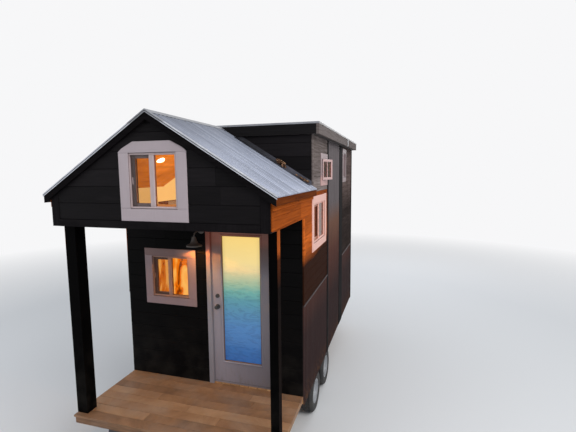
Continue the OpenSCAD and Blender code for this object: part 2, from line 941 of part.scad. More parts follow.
module sash_ring() {
    w = high_front_in.x - 2 * sash_play;
    h = high_front_in.y - 2 * sash_play;
    difference() {
        block([0, -sash_t, 0], [w, 0, h]);
        block([sash_w, -sash_t - eps, sash_w], [w - sash_w, eps, h - sash_w]);
    }
}

module sash_pane() {
    w = high_front_in.x - 2 * sash_play;
    h = high_front_in.y - 2 * sash_play;
    mid = -sash_t / 2;
    block([sash_w, mid - glass_t / 2, sash_w], [w - sash_w, mid + glass_t / 2, h - sash_w]);
}

module side_window_set(open) {
    at_side() {
        translate([-trim_w, 0, -trim_w]) window_boards(side_l, side_h, trim_w, trim_w);
        window_frame(side_in.x, side_in.y);
    }
    at_high_front() {
        translate([-high_trim_w, 0, -high_trim_w]) {
            window_boards(high_front_l, high_front_h, high_trim_w, high_trim_w);
        }
        sash_frame();
        at_sash(open) sash_ring();
    }
    at_high_rear() {
        translate([-high_trim_w, 0, -high_trim_w]) {
            window_boards(high_rear_l, high_rear_h, high_trim_w, high_trim_w);
        }
        window_frame(high_rear_in.x, high_rear_in.y);
    }
}

module side_pane_set(open) {
    at_side() window_pane(side_in.x, side_in.y);
    at_high_front() at_sash(open) sash_pane();
    at_high_rear() window_pane(high_rear_in.x, high_rear_in.y);
}

module side_windows() {
    color("whitesmoke") place() {
        side_window_set(sash_open);
        mirror([1, 0, 0]) side_window_set(0);
    }
}

module side_window_glass() {
    color("moccasin") place() {
        side_pane_set(sash_open);
        mirror([1, 0, 0]) side_pane_set(0);
    }
}

module rear_windows() {
    color("whitesmoke") place() {
        at_rear_high() {
            translate([-trim_w, 0, -trim_w]) window_boards(side_l, side_h, trim_w, trim_w);
            window_frame(side_in.x, side_in.y);
        }
        at_rear_low() {
            translate([-lower_side, 0, -trim_w]) window_boards(lower_w, lower_h, lower_side, trim_w);
            window_frame(lower_in.x, lower_in.y);
        }
    }
}

module rear_window_glass() {
    color("moccasin") place() {
        at_rear_high() window_pane(side_in.x, side_in.y);
        at_rear_low() window_pane(lower_in.x, lower_in.y);
    }
}

// Porch lamp: a wall plate, a curved arm and an open cone of a shade
module porch_lamp() {
    arm_r = 9;
    bend_r = 55;
    plate_r = 48;
    lamp_plate_t = 16;
    shade_t = 3;
    neck_r = 26;
    neck_l = 30;
    arm_out = lamp_reach - bend_r;
    lamp_x = door_x - door_outer / 2 - lamp_side;
    lamp_z = loft_z - lamp_drop;
    color("#1d1d20") place() translate([lamp_x, porch_d, lamp_z]) {
        rotate([90, 0, 0]) cylinder(r = plate_r, h = lamp_plate_t);
        rotate([90, 0, 0]) cylinder(r = arm_r, h = arm_out);
        translate([0, -arm_out, -bend_r]) rotate([90, 0, -90]) {
            rotate_extrude(angle = 90) translate([bend_r, 0]) circle(r = arm_r);
        }
        translate([0, -lamp_reach, -bend_r]) rotate([180, 0, 0]) rotate_extrude() polygon([
            [0, 0], [neck_r, 0], [neck_r, neck_l], [shade_d / 2, neck_l + shade_h],
            [shade_d / 2 - shade_t, neck_l + shade_h], [neck_r - shade_t, neck_l + shade_t],
            [0, neck_l + shade_t]
        ]);
    }
}

trailer_rails();
crossmembers();
axles();
tyres();
wheel_rims();
tongue();
jacks();
floor_deck();
porch_deck();
loft_floor();
porch_posts();
porch_walls();
porch_wall_header();
right_wall();
left_wall();
rear_wall();
gable_wall();
loft_side_walls();
dormer_front_walls();
dormer_side_walls();
roof_deck_right();
roof_deck_left();
roof_metal_right();
roof_metal_left();
ridge_cap();
roof_edge_trim();
flat_roof();
roof_fascia();
metal_cladding();
wainscot_caps();
black_boards();
door_frame();
door_trim();
door_hinges();
door_leaf();
door_glass();
door_lock();
front_window_trims();
front_window_frames();
front_window_glass();
side_windows();
side_window_glass();
rear_windows();
rear_window_glass();
porch_lamp();
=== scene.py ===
"""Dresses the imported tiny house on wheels: boards, metal, windows, door, lamps, trailer and stage.

Lengths are metres. Pieces are drawn in the house's own frame, whose y is zero at the outer face of the
front gable; Shape.build moves them into the shared frame.
"""
import json
import math

import bmesh
import bpy
import numpy as np
from bpy.props import FloatProperty, FloatVectorProperty, IntProperty, PointerProperty
from mathutils import Matrix, Vector


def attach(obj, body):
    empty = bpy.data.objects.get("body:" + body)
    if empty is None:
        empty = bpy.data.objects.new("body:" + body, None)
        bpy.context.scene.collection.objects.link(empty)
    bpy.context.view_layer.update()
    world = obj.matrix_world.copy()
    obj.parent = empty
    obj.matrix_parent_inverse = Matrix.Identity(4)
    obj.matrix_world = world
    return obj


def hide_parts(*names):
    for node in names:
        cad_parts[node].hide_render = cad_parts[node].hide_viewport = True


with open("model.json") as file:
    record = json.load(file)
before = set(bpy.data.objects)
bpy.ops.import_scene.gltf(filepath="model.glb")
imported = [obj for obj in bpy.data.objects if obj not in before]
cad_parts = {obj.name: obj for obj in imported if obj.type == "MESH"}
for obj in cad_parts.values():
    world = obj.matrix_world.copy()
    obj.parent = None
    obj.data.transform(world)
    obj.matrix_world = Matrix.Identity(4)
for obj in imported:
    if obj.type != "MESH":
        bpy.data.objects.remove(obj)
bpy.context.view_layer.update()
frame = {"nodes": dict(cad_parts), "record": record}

bl_info = {
    "name": "Tiny house on wheels",
    "version": (1, 0, 0),
    "blender": (4, 5, 0),
    "location": "3D View > Sidebar > Tiny house",
    "description": "Boards, metal, windows, door, lamps and trailer parts of a small house on wheels",
    "category": "Add Mesh",
}


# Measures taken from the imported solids
def corners(node):
    """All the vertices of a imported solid, as an array."""
    mesh = frame["nodes"][node].data
    points = np.zeros(len(mesh.vertices) * 3, np.float32)
    mesh.vertices.foreach_get("co", points)
    return points.reshape(-1, 3).astype(float)


FRONT = corners("gable_wall")[:, 1].min()


def span(node, x=None, y=None, z=None):
    """Lowest and highest corner of those vertices of a node that lie in the given ranges, house frame."""
    points = corners(node) - [0, FRONT, 0]
    keep = np.ones(len(points), bool)
    for axis, limits in enumerate((x, y, z)):
        if limits:
            keep &= (points[:, axis] >= limits[0]) & (points[:, axis] <= limits[1])
    return points[keep].min(axis=0), points[keep].max(axis=0)


HALF = span("right_wall")[1][0]
INNER = span("right_wall")[0][0]
FLOOR = span("floor_deck")[1][2]
PORCH_FLOOR = span("porch_deck")[1][2]
SKIRT = span("metal_cladding")[0][2]
LOFT = span("loft_floor")[0][2]
GABLE_T = span("gable_wall")[1][1]
PORCH = span("porch_walls")[0][1]
PORCH_BACK = span("porch_walls")[1][1]
DORMER = span("dormer_front_walls")[0][1]
RAISED = span("dormer_front_walls")[1][1]
REAR = span("rear_wall")[1][1]
FLAT = span("flat_roof")[0][2]
CEDAR_TOP = span("dormer_side_walls")[0][2]
CAP_LOW, CAP_HIGH = span("wainscot_caps")[0][2], span("wainscot_caps")[1][2]
BOARD_0, BOARD_1 = (span("black_boards", y=(0, 3))[i][1] for i in (0, 1))
BLACK_0, BLACK_1 = (span("black_boards", y=(3, 4.5))[i][1] for i in (0, 1))
CORNER_0 = span("black_boards", y=(5, 6))[0][1]
CAP_LIFT = 0.0033  # of the ridge cap over the sheets
RIDGE = span("ridge_cap")[1][2] - CAP_LIFT
EAVE_X = span("roof_metal_right")[1][0]
RAKE_H = 0.030  # height of the folded strip at the gable
EAVE = span("roof_edge_trim")[0][2] + RAKE_H - CAP_LIFT
SLOPE = (RIDGE - EAVE) / EAVE_X
RAKE_FRONT = span("roof_edge_trim")[0][1]
UNDER = RIDGE - span("gable_wall")[1][2]
UPPER = span("front_window_frames", y=(-1, 0.5))
LOWER = span("front_window_frames", y=(0.5, 2))
UPPER_BOARDS = span("front_window_trims", y=(-1, 0.5))
LOWER_BOARDS = span("front_window_trims", y=(0.5, 2))
SIDE_BOARDS = span("side_windows", x=(0, 2), z=(2, CEDAR_TOP))
HIGH_FRONT_BOARDS = span("side_windows", x=(-2, 0), y=(1, BOARD_0 + 0.01), z=(CEDAR_TOP, 5))
HIGH_REAR_BOARDS = span("side_windows", x=(0, 2), y=(4, 5), z=(CEDAR_TOP, 5))
REAR_HIGH_BOARDS = span("rear_windows", z=(2.7, 5))
REAR_LOW_BOARDS = span("rear_windows", z=(0, 2.7))
DOOR_FRAME = span("door_frame")
DOOR_GLASS = span("door_glass")
SHADE = span("porch_lamp")
SHADE_X = float((SHADE[0][0] + SHADE[1][0]) / 2)
SHADE_R = float(SHADE[1][0] - SHADE[0][0]) / 2
SHADE_Y = float(SHADE[0][1]) + SHADE_R
SHADE_LOW = float(SHADE[0][2])
SHADE_TOP = SHADE_LOW + 0.085
# Measures of the solids that no node's corners give
TRIM, HIGH_TRIM = 0.1, 0.08  # boards round the windows, and round the high side windows
RIB_PITCH = 0.068  # ribs of the roof's and the walls' sheets
OVERHANG = 0.045  # of the roof sheets past the gable wall
FASCIA_X = HALF + 0.106  # outer faces of the flat roof's side boards
REAR_CORNER = 0.09  # width of the rear wall's corner boards
# Places inside the house
LOFT_LIGHT = (-0.567, 0.977, 3.683)
CEILING_END = 1.84  # where the wooden ceiling under the gable roof ends
NEAR = 0.0008  # a colour that starts at a face starts this far before it


def roof(x):
    """Height of the roof sheets' upper face at a distance from the ridge."""
    return RIDGE - SLOPE * np.abs(x)


# Sizes and colours that a user may change
def length_property(name, text, default, low, high):
    """A length that the user may set between two limits."""
    return FloatProperty(name=name, description=text, default=default, min=low, max=high, unit="LENGTH")


def colour_property(name, text, *default):
    """A colour that the user may set."""
    return FloatVectorProperty(name=name, description=text, subtype="COLOR", size=3, min=0, max=1,
                               default=default)


class HouseSizes(bpy.types.PropertyGroup):
    """Sizes of the pieces that dress the solids"""

    board_pitch: length_property("Wide boards", "Height of one black or grey wall board", 0.172, 0.1, 0.25)
    cedar_pitch: length_property("Cedar boards", "Height of one cedar wall board", 0.118, 0.07, 0.2)
    board_thickness: length_property("Board thickness", "Thickness of the wall boards", 0.012, 0.008, 0.016)
    groove: length_property("Groove", "Depth of the groove between two wall boards", 0.005, 0.002, 0.007)
    deck_board: length_property("Deck boards", "Width of one board of the porch deck", 0.135, 0.09, 0.19)
    screw_head: length_property("Screw heads", "Radius of the screws that hold the metal sheets",
                                0.0055, 0.003, 0.008)
    leaf_count: IntProperty(name="Dry leaves", description="Number of dry leaves on the roof", default=110,
                            min=0, max=600)


class HouseColours(bpy.types.PropertyGroup):
    """Main colours of the finishes"""

    black_stain: colour_property("Black stain", "Colour of the stained wall boards", 0.0082, 0.007, 0.0078)
    cedar: colour_property("Cedar", "Colour of the cedar wall boards", 0.62, 0.135, 0.02)
    weathered: colour_property("Weathered boards", "Colour of the grey-brown wall boards", 0.19, 0.155, 0.145)
    roof_metal: colour_property("Roof metal", "Colour of the galvanised roof sheets", 0.345, 0.372, 0.46)
    white_paint: colour_property("White paint", "Colour of the window and door boards", 0.62, 0.47, 0.46)
    glow: colour_property("Indoor light", "Colour of the light inside", 1.0, 0.84, 0.56)


def sizes():
    """The scene's HouseSizes."""
    return bpy.context.scene.tiny_house_sizes


def chosen(name):
    """A colour of the group HouseColours, as three numbers."""
    return tuple(getattr(bpy.context.scene.tiny_house_colours, name))


def times(colour, *factors):
    """A colour times one number, or times one number for each channel, and 1 at most."""
    return tuple(min(1.0, v * f) for v, f in zip(colour, factors * (3 // len(factors))))


def add(name, data):
    """A new object in the scene."""
    thing = bpy.data.objects.new(name, data)
    bpy.context.scene.collection.objects.link(thing)
    return thing


# Mesh making
def xyz(x, y, z):
    """Points, from coordinates that are arrays or plain numbers."""
    return np.stack(np.broadcast_arrays(x, y, z), axis=-1)


def quads_between(n, k, wrap=False):
    """Faces of n rings of k points: quad (i, j) spans ring i to i + 1 and point j to j + 1."""
    i, j = (a.ravel() for a in np.meshgrid(np.arange(n if wrap else n - 1), np.arange(k), indexing="ij"))
    after, beside = (i + 1) % n, (j + 1) % k
    return np.stack([i * k + j, after * k + j, after * k + beside, i * k + beside], axis=1)


def end_faces(n, k):
    """The two faces that close the first and the last of n rings of k points."""
    return np.stack([np.arange(k), (n - 1) * k + np.arange(k)[::-1]])


def square_to(axis, first):
    """The unit axis and two directions square to it, the one square to coordinate axis number first too, or
    to the other of x and y where the axis lies along it."""
    axis = np.array(axis, float) / np.linalg.norm(axis)
    u = np.cross(axis, np.eye(3)[first if abs(axis[first]) < 0.9 else 1 - first])
    u /= np.linalg.norm(u)
    return axis, u, np.cross(axis, u)


class Shape:
    """Collects closed shells of one piece. Each has its own board number, for its shade and grain."""

    def __init__(self, seed):
        self.points, self.faces, self.boards, self.count = [], {}, [], 0
        self.random = np.random.default_rng(seed)

    def shell(self, points, faces, board=None):
        """Adds vertices (n, 3) and a list of face arrays, each (m, corners)."""
        points = np.asarray(points, float).reshape(-1, 3)
        board = self.random.random() if board is None else board
        self.points.append(points)
        self.boards.append(np.full(len(points), board))
        for group in faces:
            group = np.asarray(group, int)
            self.faces.setdefault(group.shape[1], []).append(group + self.count)
        self.count += len(points)

    def loft(self, rings, wrap=False, board=None):
        """Joins closed rings (n, k, 3) one to the next. The first and last ring are closed by a face each, or
        joined to each other when wrap is set."""
        rings = np.asarray(rings, float)
        n, k = rings.shape[:2]
        ends = [] if wrap else [end_faces(n, k)]
        self.shell(rings.reshape(-1, 3), [quads_between(n, k, wrap), *ends], board)

    def block(self, low, high, chamfer=0.0015, board=None):
        """A board: eight-sided rings at four heights, drawn in by the chamfer at the two ends."""
        low, high = np.minimum(low, high).astype(float), np.maximum(low, high).astype(float)
        c = min(chamfer, (high - low).min() * 0.3)

        def ring(inset, z):
            x0, y0, x1, y1 = low[0] + inset, low[1] + inset, high[0] - inset, high[1] - inset
            return [(x0 + c, y0, z), (x1 - c, y0, z), (x1, y0 + c, z), (x1, y1 - c, z),
                    (x1 - c, y1, z), (x0 + c, y1, z), (x0, y1 - c, z), (x0, y0 + c, z)]

        self.loft([ring(c, low[2]), ring(0, low[2] + c), ring(0, high[2] - c), ring(c, high[2])], board=board)

    def tube(self, path, radius, sides=12, board=None):
        """A round bar: at each point of the path a circle stands square to the way the path goes there."""
        path = np.asarray(path, float)
        way = np.gradient(path, axis=0)
        way /= np.linalg.norm(way, axis=1)[:, None]
        side = np.cross(way, np.where(np.abs(way[:, 2:]) < 0.9, [[0, 0, 1.0]], [[0, 1.0, 0]]))
        side /= np.linalg.norm(side, axis=1)[:, None]
        other = np.cross(way, side)
        turn = np.linspace(0, 2 * np.pi, sides, endpoint=False)
        reach = np.broadcast_to(radius, len(path))[:, None, None]
        rings = path[:, None] + reach * (np.cos(turn)[None, :, None] * side[:, None]
                                         + np.sin(turn)[None, :, None] * other[:, None])
        self.loft(rings, board=board)

    def lathe(self, profile, centre, axis=(0, 0, 1), sides=24, board=None):
        """A closed outline of (radius, height) pairs, turned once round an axis through the centre."""
        axis, u, v = square_to(axis, 0)
        turn = np.linspace(0, 2 * np.pi, sides, endpoint=False)[:, None, None]
        r, h = np.array(profile, float).T
        rings = (np.asarray(centre, float) + r[None, :, None] * (np.cos(turn) * u + np.sin(turn) * v)
                 + h[None, :, None] * axis)
        self.loft(rings, wrap=True, board=board)

    def copies(self, base, faces, spots, turns=None, board=None):
        """Repeats one shell (n, 3) at every spot (m, 3), turned by rotation matrices (m, 3, 3) if given."""
        base, spots = np.asarray(base, float), np.asarray(spots, float).reshape(-1, 3)
        turned = base[None] if turns is None else base @ np.swapaxes(turns, 1, 2)
        step = (np.arange(len(spots)) * len(base))[:, None, None]
        number = self.random.random(len(spots)) if board is None else np.full(len(spots), board)
        groups = [(np.asarray(f, int)[None] + step).reshape(-1, np.shape(f)[1]) for f in faces]
        self.shell((turned + spots[:, None]).reshape(-1, 3), groups, 0.5)
        self.boards[-1] = np.repeat(number, len(base))

    def build(self, name, slot, body="house", replaces=(), smooth=False):
        """Writes the mesh, merges doubled points, turns the faces outwards and dresses the piece."""
        points = np.concatenate(self.points) + [0, FRONT, 0]
        groups = [group for k in sorted(self.faces) for group in self.faces[k]]
        totals = np.concatenate([np.full(len(group), group.shape[1]) for group in groups])
        vertices = np.concatenate([group.ravel() for group in groups])
        mesh = bpy.data.meshes.new(name)
        mesh.vertices.add(len(points))
        mesh.vertices.foreach_set("co", points.ravel().astype(np.float32))
        mesh.loops.add(len(vertices))
        mesh.loops.foreach_set("vertex_index", vertices.astype(np.int32))
        mesh.polygons.add(len(totals))
        mesh.polygons.foreach_set("loop_start", (np.cumsum(totals) - totals).astype(np.int32))
        mesh.polygons.foreach_set("loop_total", totals.astype(np.int32))
        board = mesh.attributes.new("board", "FLOAT", "POINT")
        board.data.foreach_set("value", np.concatenate(self.boards).astype(np.float32))
        mesh.update(calc_edges=True)
        mesh.validate()
        solid = bmesh.new()
        solid.from_mesh(mesh)
        bmesh.ops.remove_doubles(solid, verts=solid.verts, dist=1e-6)
        bmesh.ops.recalc_face_normals(solid, faces=solid.faces)
        solid.to_mesh(mesh)
        solid.free()
        mesh.polygons.foreach_set("use_smooth", np.full(len(mesh.polygons), smooth))
        if smooth:
            mesh.set_sharp_from_angle(angle=math.radians(38))
        piece = add(name, mesh)
        mesh.materials.append(finish(slot))
        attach(piece, body)
        if replaces:
            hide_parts(*replaces)


# Walls: a point on a wall is (s, z, d): along the wall, up, and out from its face
def front_wall(y):
    return lambda s, z, d: xyz(s, y - np.asarray(d), z)


def rear_wall(y):
    return lambda s, z, d: xyz(-np.asarray(s), y + np.asarray(d), z)


def side_wall(side, x):
    return lambda s, z, d: xyz(side * (x + np.asarray(d)), s, z)


def free_runs(low, high, holes, z0, z1):
    """What is left of a run along a wall after the holes that lie at this height are taken out."""
    runs, touch, least = [(low, high)], 1e-6, 0.004
    for s0, s1, h0, h1 in holes:
        if h0 < z1 - touch and h1 > z0 + touch:
            parts = [part for a, b in runs for part in ((a, min(b, s0)), (max(a, s1), b))]
            runs = [(a, b) for a, b in parts if b - a > least]
    return runs


def siding(shape, wall, z_range, limits, pitch, holes=(), cuts=(), joints=None):
    """Level boards on a wall. A board's face is flat and drops back along straight lines to a groove at its
    upper and lower edge; its ends follow limits(z), so that they can be cut to a slope."""
    t, c = sizes().board_thickness, sizes().groove
    edges = [height for gap in holes for height in gap[2:]] + list(cuts)
    seam, uneven = 8e-4, 7e-4  # half the gap of a butt joint, and how far a board may stand in or out
    least, butt_chance = 0.004, 0.7
    z, end_z = z_range
    while z < end_z - least:
        top = min(z + pitch, end_z)
        lift = shape.random.uniform(-uneven, uneven)
        shade = shape.random.random()
        steps = sorted({z, top, *[e for e in edges if z + 0.002 < e < top - 0.002]})
        joint = joints and shape.random.random() < butt_chance and shape.random.uniform(*joints)
        gaps = [*holes, (joint - seam, joint + seam, z, top)] if joint else holes
        for z0, z1 in zip(steps[:-1], steps[1:]):
            heights = sorted({z0, z1, *[h for h in (z + c, top - c) if z0 < h < z1]})
            depth = np.interp(heights, [z, z + c, top - c, top], [t - c, t, t, t - c]) + lift
            outline_z = np.array([z0, *heights, z1])
            outline_d = np.array([0.0, *depth, 0.0])
            low, high = limits((z0 + z1) / 2)
            ends = np.array([limits(h) for h in outline_z])
            for a, b in free_runs(low, high, gaps, z0, z1):
                start = ends[:, 0] if a == low else np.full(len(ends), a)
                end = ends[:, 1] if b == high else np.full(len(ends), b)
                if (end - start).min() < -0.3 or (end - start).max() < 0.01:
                    continue
                end = np.maximum(end, start + 0.001)
                beyond = 0.37 if joint and a > joint - 0.01 else 0
                shape.loft([wall(start, outline_z, outline_d), wall(end, outline_z, outline_d)],
                           board=(shade + beyond) % 1)
        z = top


def plate(shape, outline, wall, d0, d1, chamfer=0.0015, board=None):
    """A flat board of any convex outline (s, z), whose outer face is drawn in by the chamfer."""
    outline = np.asarray(outline, float)
    middle = outline.mean(axis=0)
    away = outline - middle
    inner = middle + away * (1 - chamfer / np.maximum(np.abs(away).min(axis=1, keepdims=True), 0.02))
    rings = [wall(o[:, 0], o[:, 1], np.full(len(o), d))
             for o, d in ((outline, d0), (outline, d1 - chamfer), (inner, d1))]
    shape.loft(rings, board=board)


def ring_frame(shape, wall, rect, profile, board=None, left=1.0):
    """A mitred frame: the profile's (inset, d) pairs are carried once round the rectangle (s0, s1, z0, z1);
    on the left side each inset is multiplied by left."""
    s0, s1, z0, z1 = rect
    inset, d = np.array(profile, float).T
    rings = [wall(s0 + inset * left, z0 + inset, d), wall(s1 - inset, z0 + inset, d),
             wall(s1 - inset, z1 - inset, d), wall(s0 + inset * left, z1 - inset, d)]
    shape.loft(rings, wrap=True, board=board)


def wall_board(shape, wall, s, z, d, chamfer=0.0015, board=None):
    """A straight board between two values each of s, z and d."""
    plate(shape, [(s[0], z[0]), (s[1], z[0]), (s[1], z[1]), (s[0], z[1])], wall, d[0], d[1], chamfer, board)


def domes(shape, places, normal, radius, height, board=None):
    """Small round heads: rings at the base, at half height and near the top, closed by a flat face."""
    normal, u, v = square_to(normal, 1)
    turn = np.linspace(0, 2 * np.pi, 6, endpoint=False)[:, None]
    circle = radius * (np.cos(turn) * u + np.sin(turn) * v)
    levels = ((1.35, -0.1), (1.35, 0.18), (0.85, 0.3), (0.55, 1.0))
    rings = [circle * r + height * h * normal for r, h in levels]
    shape.copies(np.concatenate(rings), [quads_between(4, 6), end_faces(4, 6)], places, board=board)


def down_slope(shape, outline, side, ends):
    """An outline of (y, height over the sheets) pairs, carried down one slope between two distances."""
    y, up = np.array(outline).T
    shape.loft([xyz(side * x, y, roof(x) + up) for x in ends])


# Shader maths, written as Python expressions
def joined(operation):
    """An operator of Wire that adds a Math node."""
    return lambda self, other: self.math(operation, other)


class Wire:
    """A socket that can be written in sums and products; each adds the Math node it needs."""

    def __init__(self, graph, socket):
        self.graph, self.socket = graph, socket

    def math(self, operation, *others):
        """Any operation of the Math node, on this value and up to two others."""
        return self.graph.node("Math", {"operation": operation}, [self, *others])

    __add__ = __radd__ = joined("ADD")
    __mul__ = __rmul__ = joined("MULTIPLY")
    __sub__, __truediv__, __pow__ = joined("SUBTRACT"), joined("DIVIDE"), joined("POWER")
    __gt__, __lt__ = joined("GREATER_THAN"), joined("LESS_THAN")

    def __rsub__(self, other):
        return self.graph.node("Math", {"operation": "SUBTRACT"}, [other, self])

    def within(self, low, high):
        """1 between two values and 0 outside them."""
        return (self > low) * (self < high)

    def ramp(self, low, high):
        """0 below low, 1 above high, and a straight rise in between, also for low above high."""
        return self.graph.node("MapRange", {"clamp": True}, [self, low, high, 0.0, 1.0])


class Graph:
    """The nodes of one material."""

    def __init__(self, name):
        self.material = bpy.data.materials.new(name)
        self.material.use_nodes = True
        self.tree = self.material.node_tree
        self.tree.nodes.clear()
        self.place = Wire(self, self.raw("TexCoord").outputs["Object"])
        self.x, y, self.z = self.split(self.place)
        self.y = y - float(FRONT)
        self.board = Wire(self, self.raw("Attribute", {"attribute_name": "board"}).outputs["Fac"])

    @property
    def across(self):
        """Distance from the middle plane of the house."""
        return self.x.math("ABSOLUTE")

    def raw(self, kind, settings=None, inputs=()):
        """A node of any type: its settings first, then the values or wires of its sockets."""
        node = self.tree.nodes.new("ShaderNode" + kind)
        for key, value in (settings or {}).items():
            setattr(node, key, value)
        pairs = inputs.items() if isinstance(inputs, dict) else enumerate(inputs)
        for key, value in pairs:
            if isinstance(value, Wire):
                self.tree.links.new(value.socket, node.inputs[key])
            elif value is not None:
                node.inputs[key].default_value = value
        return node

    def node(self, kind, settings=None, inputs=(), out=0):
        """A node as raw() makes it, given back as one of its outputs."""
        return Wire(self, self.raw(kind, settings, inputs).outputs[out])

    def split(self, vector):
        """The three coordinates of a vector."""
        node = self.raw("SeparateXYZ", inputs=[vector])
        return [Wire(self, node.outputs[i]) for i in range(3)]

    def stretched(self, x, y, z, spread=0.0):
        """Object coordinates, each multiplied by its own number, moved for each board."""
        vector = self.node("VectorMath", {"operation": "MULTIPLY"}, [self.place, (x, y, z)])
        if not spread:
            return vector
        offset = self.node("CombineXYZ", inputs=[self.board * spread] * 3)
        return self.node("VectorMath", {"operation": "ADD"}, [vector, offset])

    def noise(self, vector, scale, detail=4.0, rough=0.55, warp=0.0):
        """Cloudy noise around 0.5."""
        return self.node("TexNoise", inputs={
            "Vector": vector, "Scale": scale, "Detail": detail, "Roughness": rough, "Distortion": warp})

    def cells(self, vector, scale, out="Distance"):
        """Cells round scattered points: the distance to the nearest point, or a colour for each cell."""
        return self.node("TexVoronoi", inputs={"Vector": vector, "Scale": scale}, out=out)

    def stops(self, wire, *pairs):
        """A colour ramp through (place, colour) pairs."""
        node = self.raw("ValToRGB", inputs=[wire])
        ramp = node.color_ramp
        while len(ramp.elements) < len(pairs):
            ramp.elements.new(0.5)
        for element, (spot, shown) in zip(ramp.elements, pairs):
            element.position = spot
            element.color = (*shown, 1.0)
        return Wire(self, node.outputs["Color"])

    def mix(self, share, first, second, blend="MIX"):
        """A colour between two others; a plain colour is given as three numbers."""
        first, second = ((*c, 1.0) if isinstance(c, tuple) else c for c in (first, second))
        node = self.raw("Mix", {"data_type": "RGBA", "blend_type": blend, "clamp_factor": True})
        for key, value in (("Factor_Float", share), ("A_Color", first), ("B_Color", second)):
            socket = next(s for s in node.inputs if s.identifier == key)
            if isinstance(value, Wire):
                self.tree.links.new(value.socket, socket)
            else:
                socket.default_value = value
        return Wire(self, next(s for s in node.outputs if s.identifier == "Result_Color"))

    def tint(self, base, by):
        """A colour multiplied by another."""
        return self.mix(1.0, base, by, "MULTIPLY")

    def shade(self, base, amount):
        """A colour made darker or lighter by a number."""
        return self.tint(base, self.node("CombineColor", inputs=[amount] * 3))

    def surface(self, base, rough, height=None, depth=0.0, **sockets):
        """The Principled shader, with a bump of that height and depth; underscores in names are spaces."""
        if height is not None:
            sockets["Normal"] = self.node("Bump", inputs={
                "Strength": 1.0, "Distance": depth, "Height": height})
        sockets.update(Base_Color=base, Roughness=rough)
        named = {key.replace("_", " "): ((*v, 1.0) if isinstance(v, tuple) and len(v) == 3 else v)
                 for key, v in sockets.items()}
        shader = self.raw("BsdfPrincipled", inputs=named)
        self.tree.links.new(shader.outputs["BSDF"], self.raw("OutputMaterial").inputs["Surface"])
        return self.material


# Finishes: the functions that make the slots' materials, and the materials made so far
FINISHES = {}
MADE = {}


def finish(slot):
    """The material of a slot, made the first time it is asked for."""
    if slot not in MADE:
        MADE[slot] = FINISHES[slot](Graph(slot))
    return MADE[slot]


def finishes(slot):
    """Enters a function as the maker of a slot's material."""
    return lambda maker: FINISHES.setdefault(slot, maker)


def grain(g, along):
    """Wood grain, which is noise drawn out along the boards and bent a little, and finer pores."""
    stretch = {"level": (1.6, 1.6, 34), "upright": (34, 34, 1.6)}[along]
    lines = g.noise(g.stretched(*stretch, spread=37.0), 1.4, 5.0, 0.62, 0.5)
    pores = g.noise(g.stretched(*[v * 5 for v in stretch], spread=11.0), 1.2, 3.0, 0.6)
    return lines, pores


def indoors(g):
    """1 on faces that look into the room, the loft or up at the loft's roof."""
    back = REAR - GABLE_T + NEAR
    room = g.y.within(PORCH_BACK - NEAR, back)
    loft = g.y.within(GABLE_T - NEAR, back) * (g.z > LOFT + 0.02)
    under = (g.across * SLOPE + g.z) < (RIDGE - UNDER + 0.006)
    inside = (g.across < INNER + NEAR) * room.math("MAXIMUM", loft) * (g.z > FLOOR - NEAR)
    return inside * under.math("MAXIMUM", g.y > RAISED - NEAR)


def glowing(g, base, strength):
    """A colour in the room's painted light, a glow of the indoor light's colour."""
    return g.shade(g.tint(base, chosen("glow")), strength)


def lit_room(g, outside, rough, height, depth, gloss=0.06):
    """A wall or roof slab: its outer finish, and inside it boards and cream paint in painted warm light, a
    glow which falls off with the square of the distance from the loft's lamp and dims towards the rear."""
    mask = indoors(g)
    lines, _ = grain(g, "level")
    plank = (g.y * 7.1).math("FRACT").within(0.03, 0.97)
    wood = g.stops(lines * 0.7 + g.noise(g.stretched(2, 2, 2), 1.3, 2.0) * 0.3, (0.3, (0.23, 0.064, 0.0045)),
                   (0.5, (0.38, 0.127, 0.011)), (0.72, (0.5, 0.19, 0.024)))
    wood = g.shade(wood, plank * 0.25 + 0.75)
    cream = g.mix(g.noise(g.place, 2.3, 3.0) * 0.5, (0.67, 0.53, 0.29), (0.56, 0.41, 0.18))
    slope_line = g.across * -SLOPE + (RIDGE - UNDER)
    ceiling = (((g.z - slope_line) > -0.012) * (g.y < CEILING_END)).math("MAXIMUM", g.z > FLAT - 0.002)
    wainscot = g.z < FLOOR + 0.82
    inner = g.mix(ceiling.math("MAXIMUM", wainscot), cream, wood)
    hangings = (g.x < -INNER + 0.01) * g.y.within(1.5, 2.46) * g.z.within(1.44, 2.32)
    things = g.stops(g.noise(g.stretched(1.0, 1.0, 0.7), 3.4, 2.0, 0.55, 1.1), (0.36, (0.16, 0.035, 0.003)),
                     (0.41, (0.52, 0.14, 0.004)), (0.5, (0.6, 0.2, 0.012)), (0.56, (0.72, 0.42, 0.11)),
                     (0.66, (0.74, 0.5, 0.18)))
    inner = g.mix(hangings, inner, things)
    lamp = (LOFT_LIGHT[0], LOFT_LIGHT[1] + float(FRONT), LOFT_LIGHT[2])
    far = g.node("VectorMath", {"operation": "DISTANCE"}, [g.place, lamp], "Value")
    near = (far * far * 5.0 + 1.0) ** -1.0
    strength = mask * (near * 0.5 + 0.58) * (g.y.ramp(3.1, 2.4) * 0.85 + 0.15)
    return g.surface(g.mix(mask, outside, inner), rough, height * (1 - mask) + lines * mask * 0.4, depth,
                     Specular_IOR_Level=gloss, Emission_Color=glowing(g, inner, strength),
                     Emission_Strength=1.5)


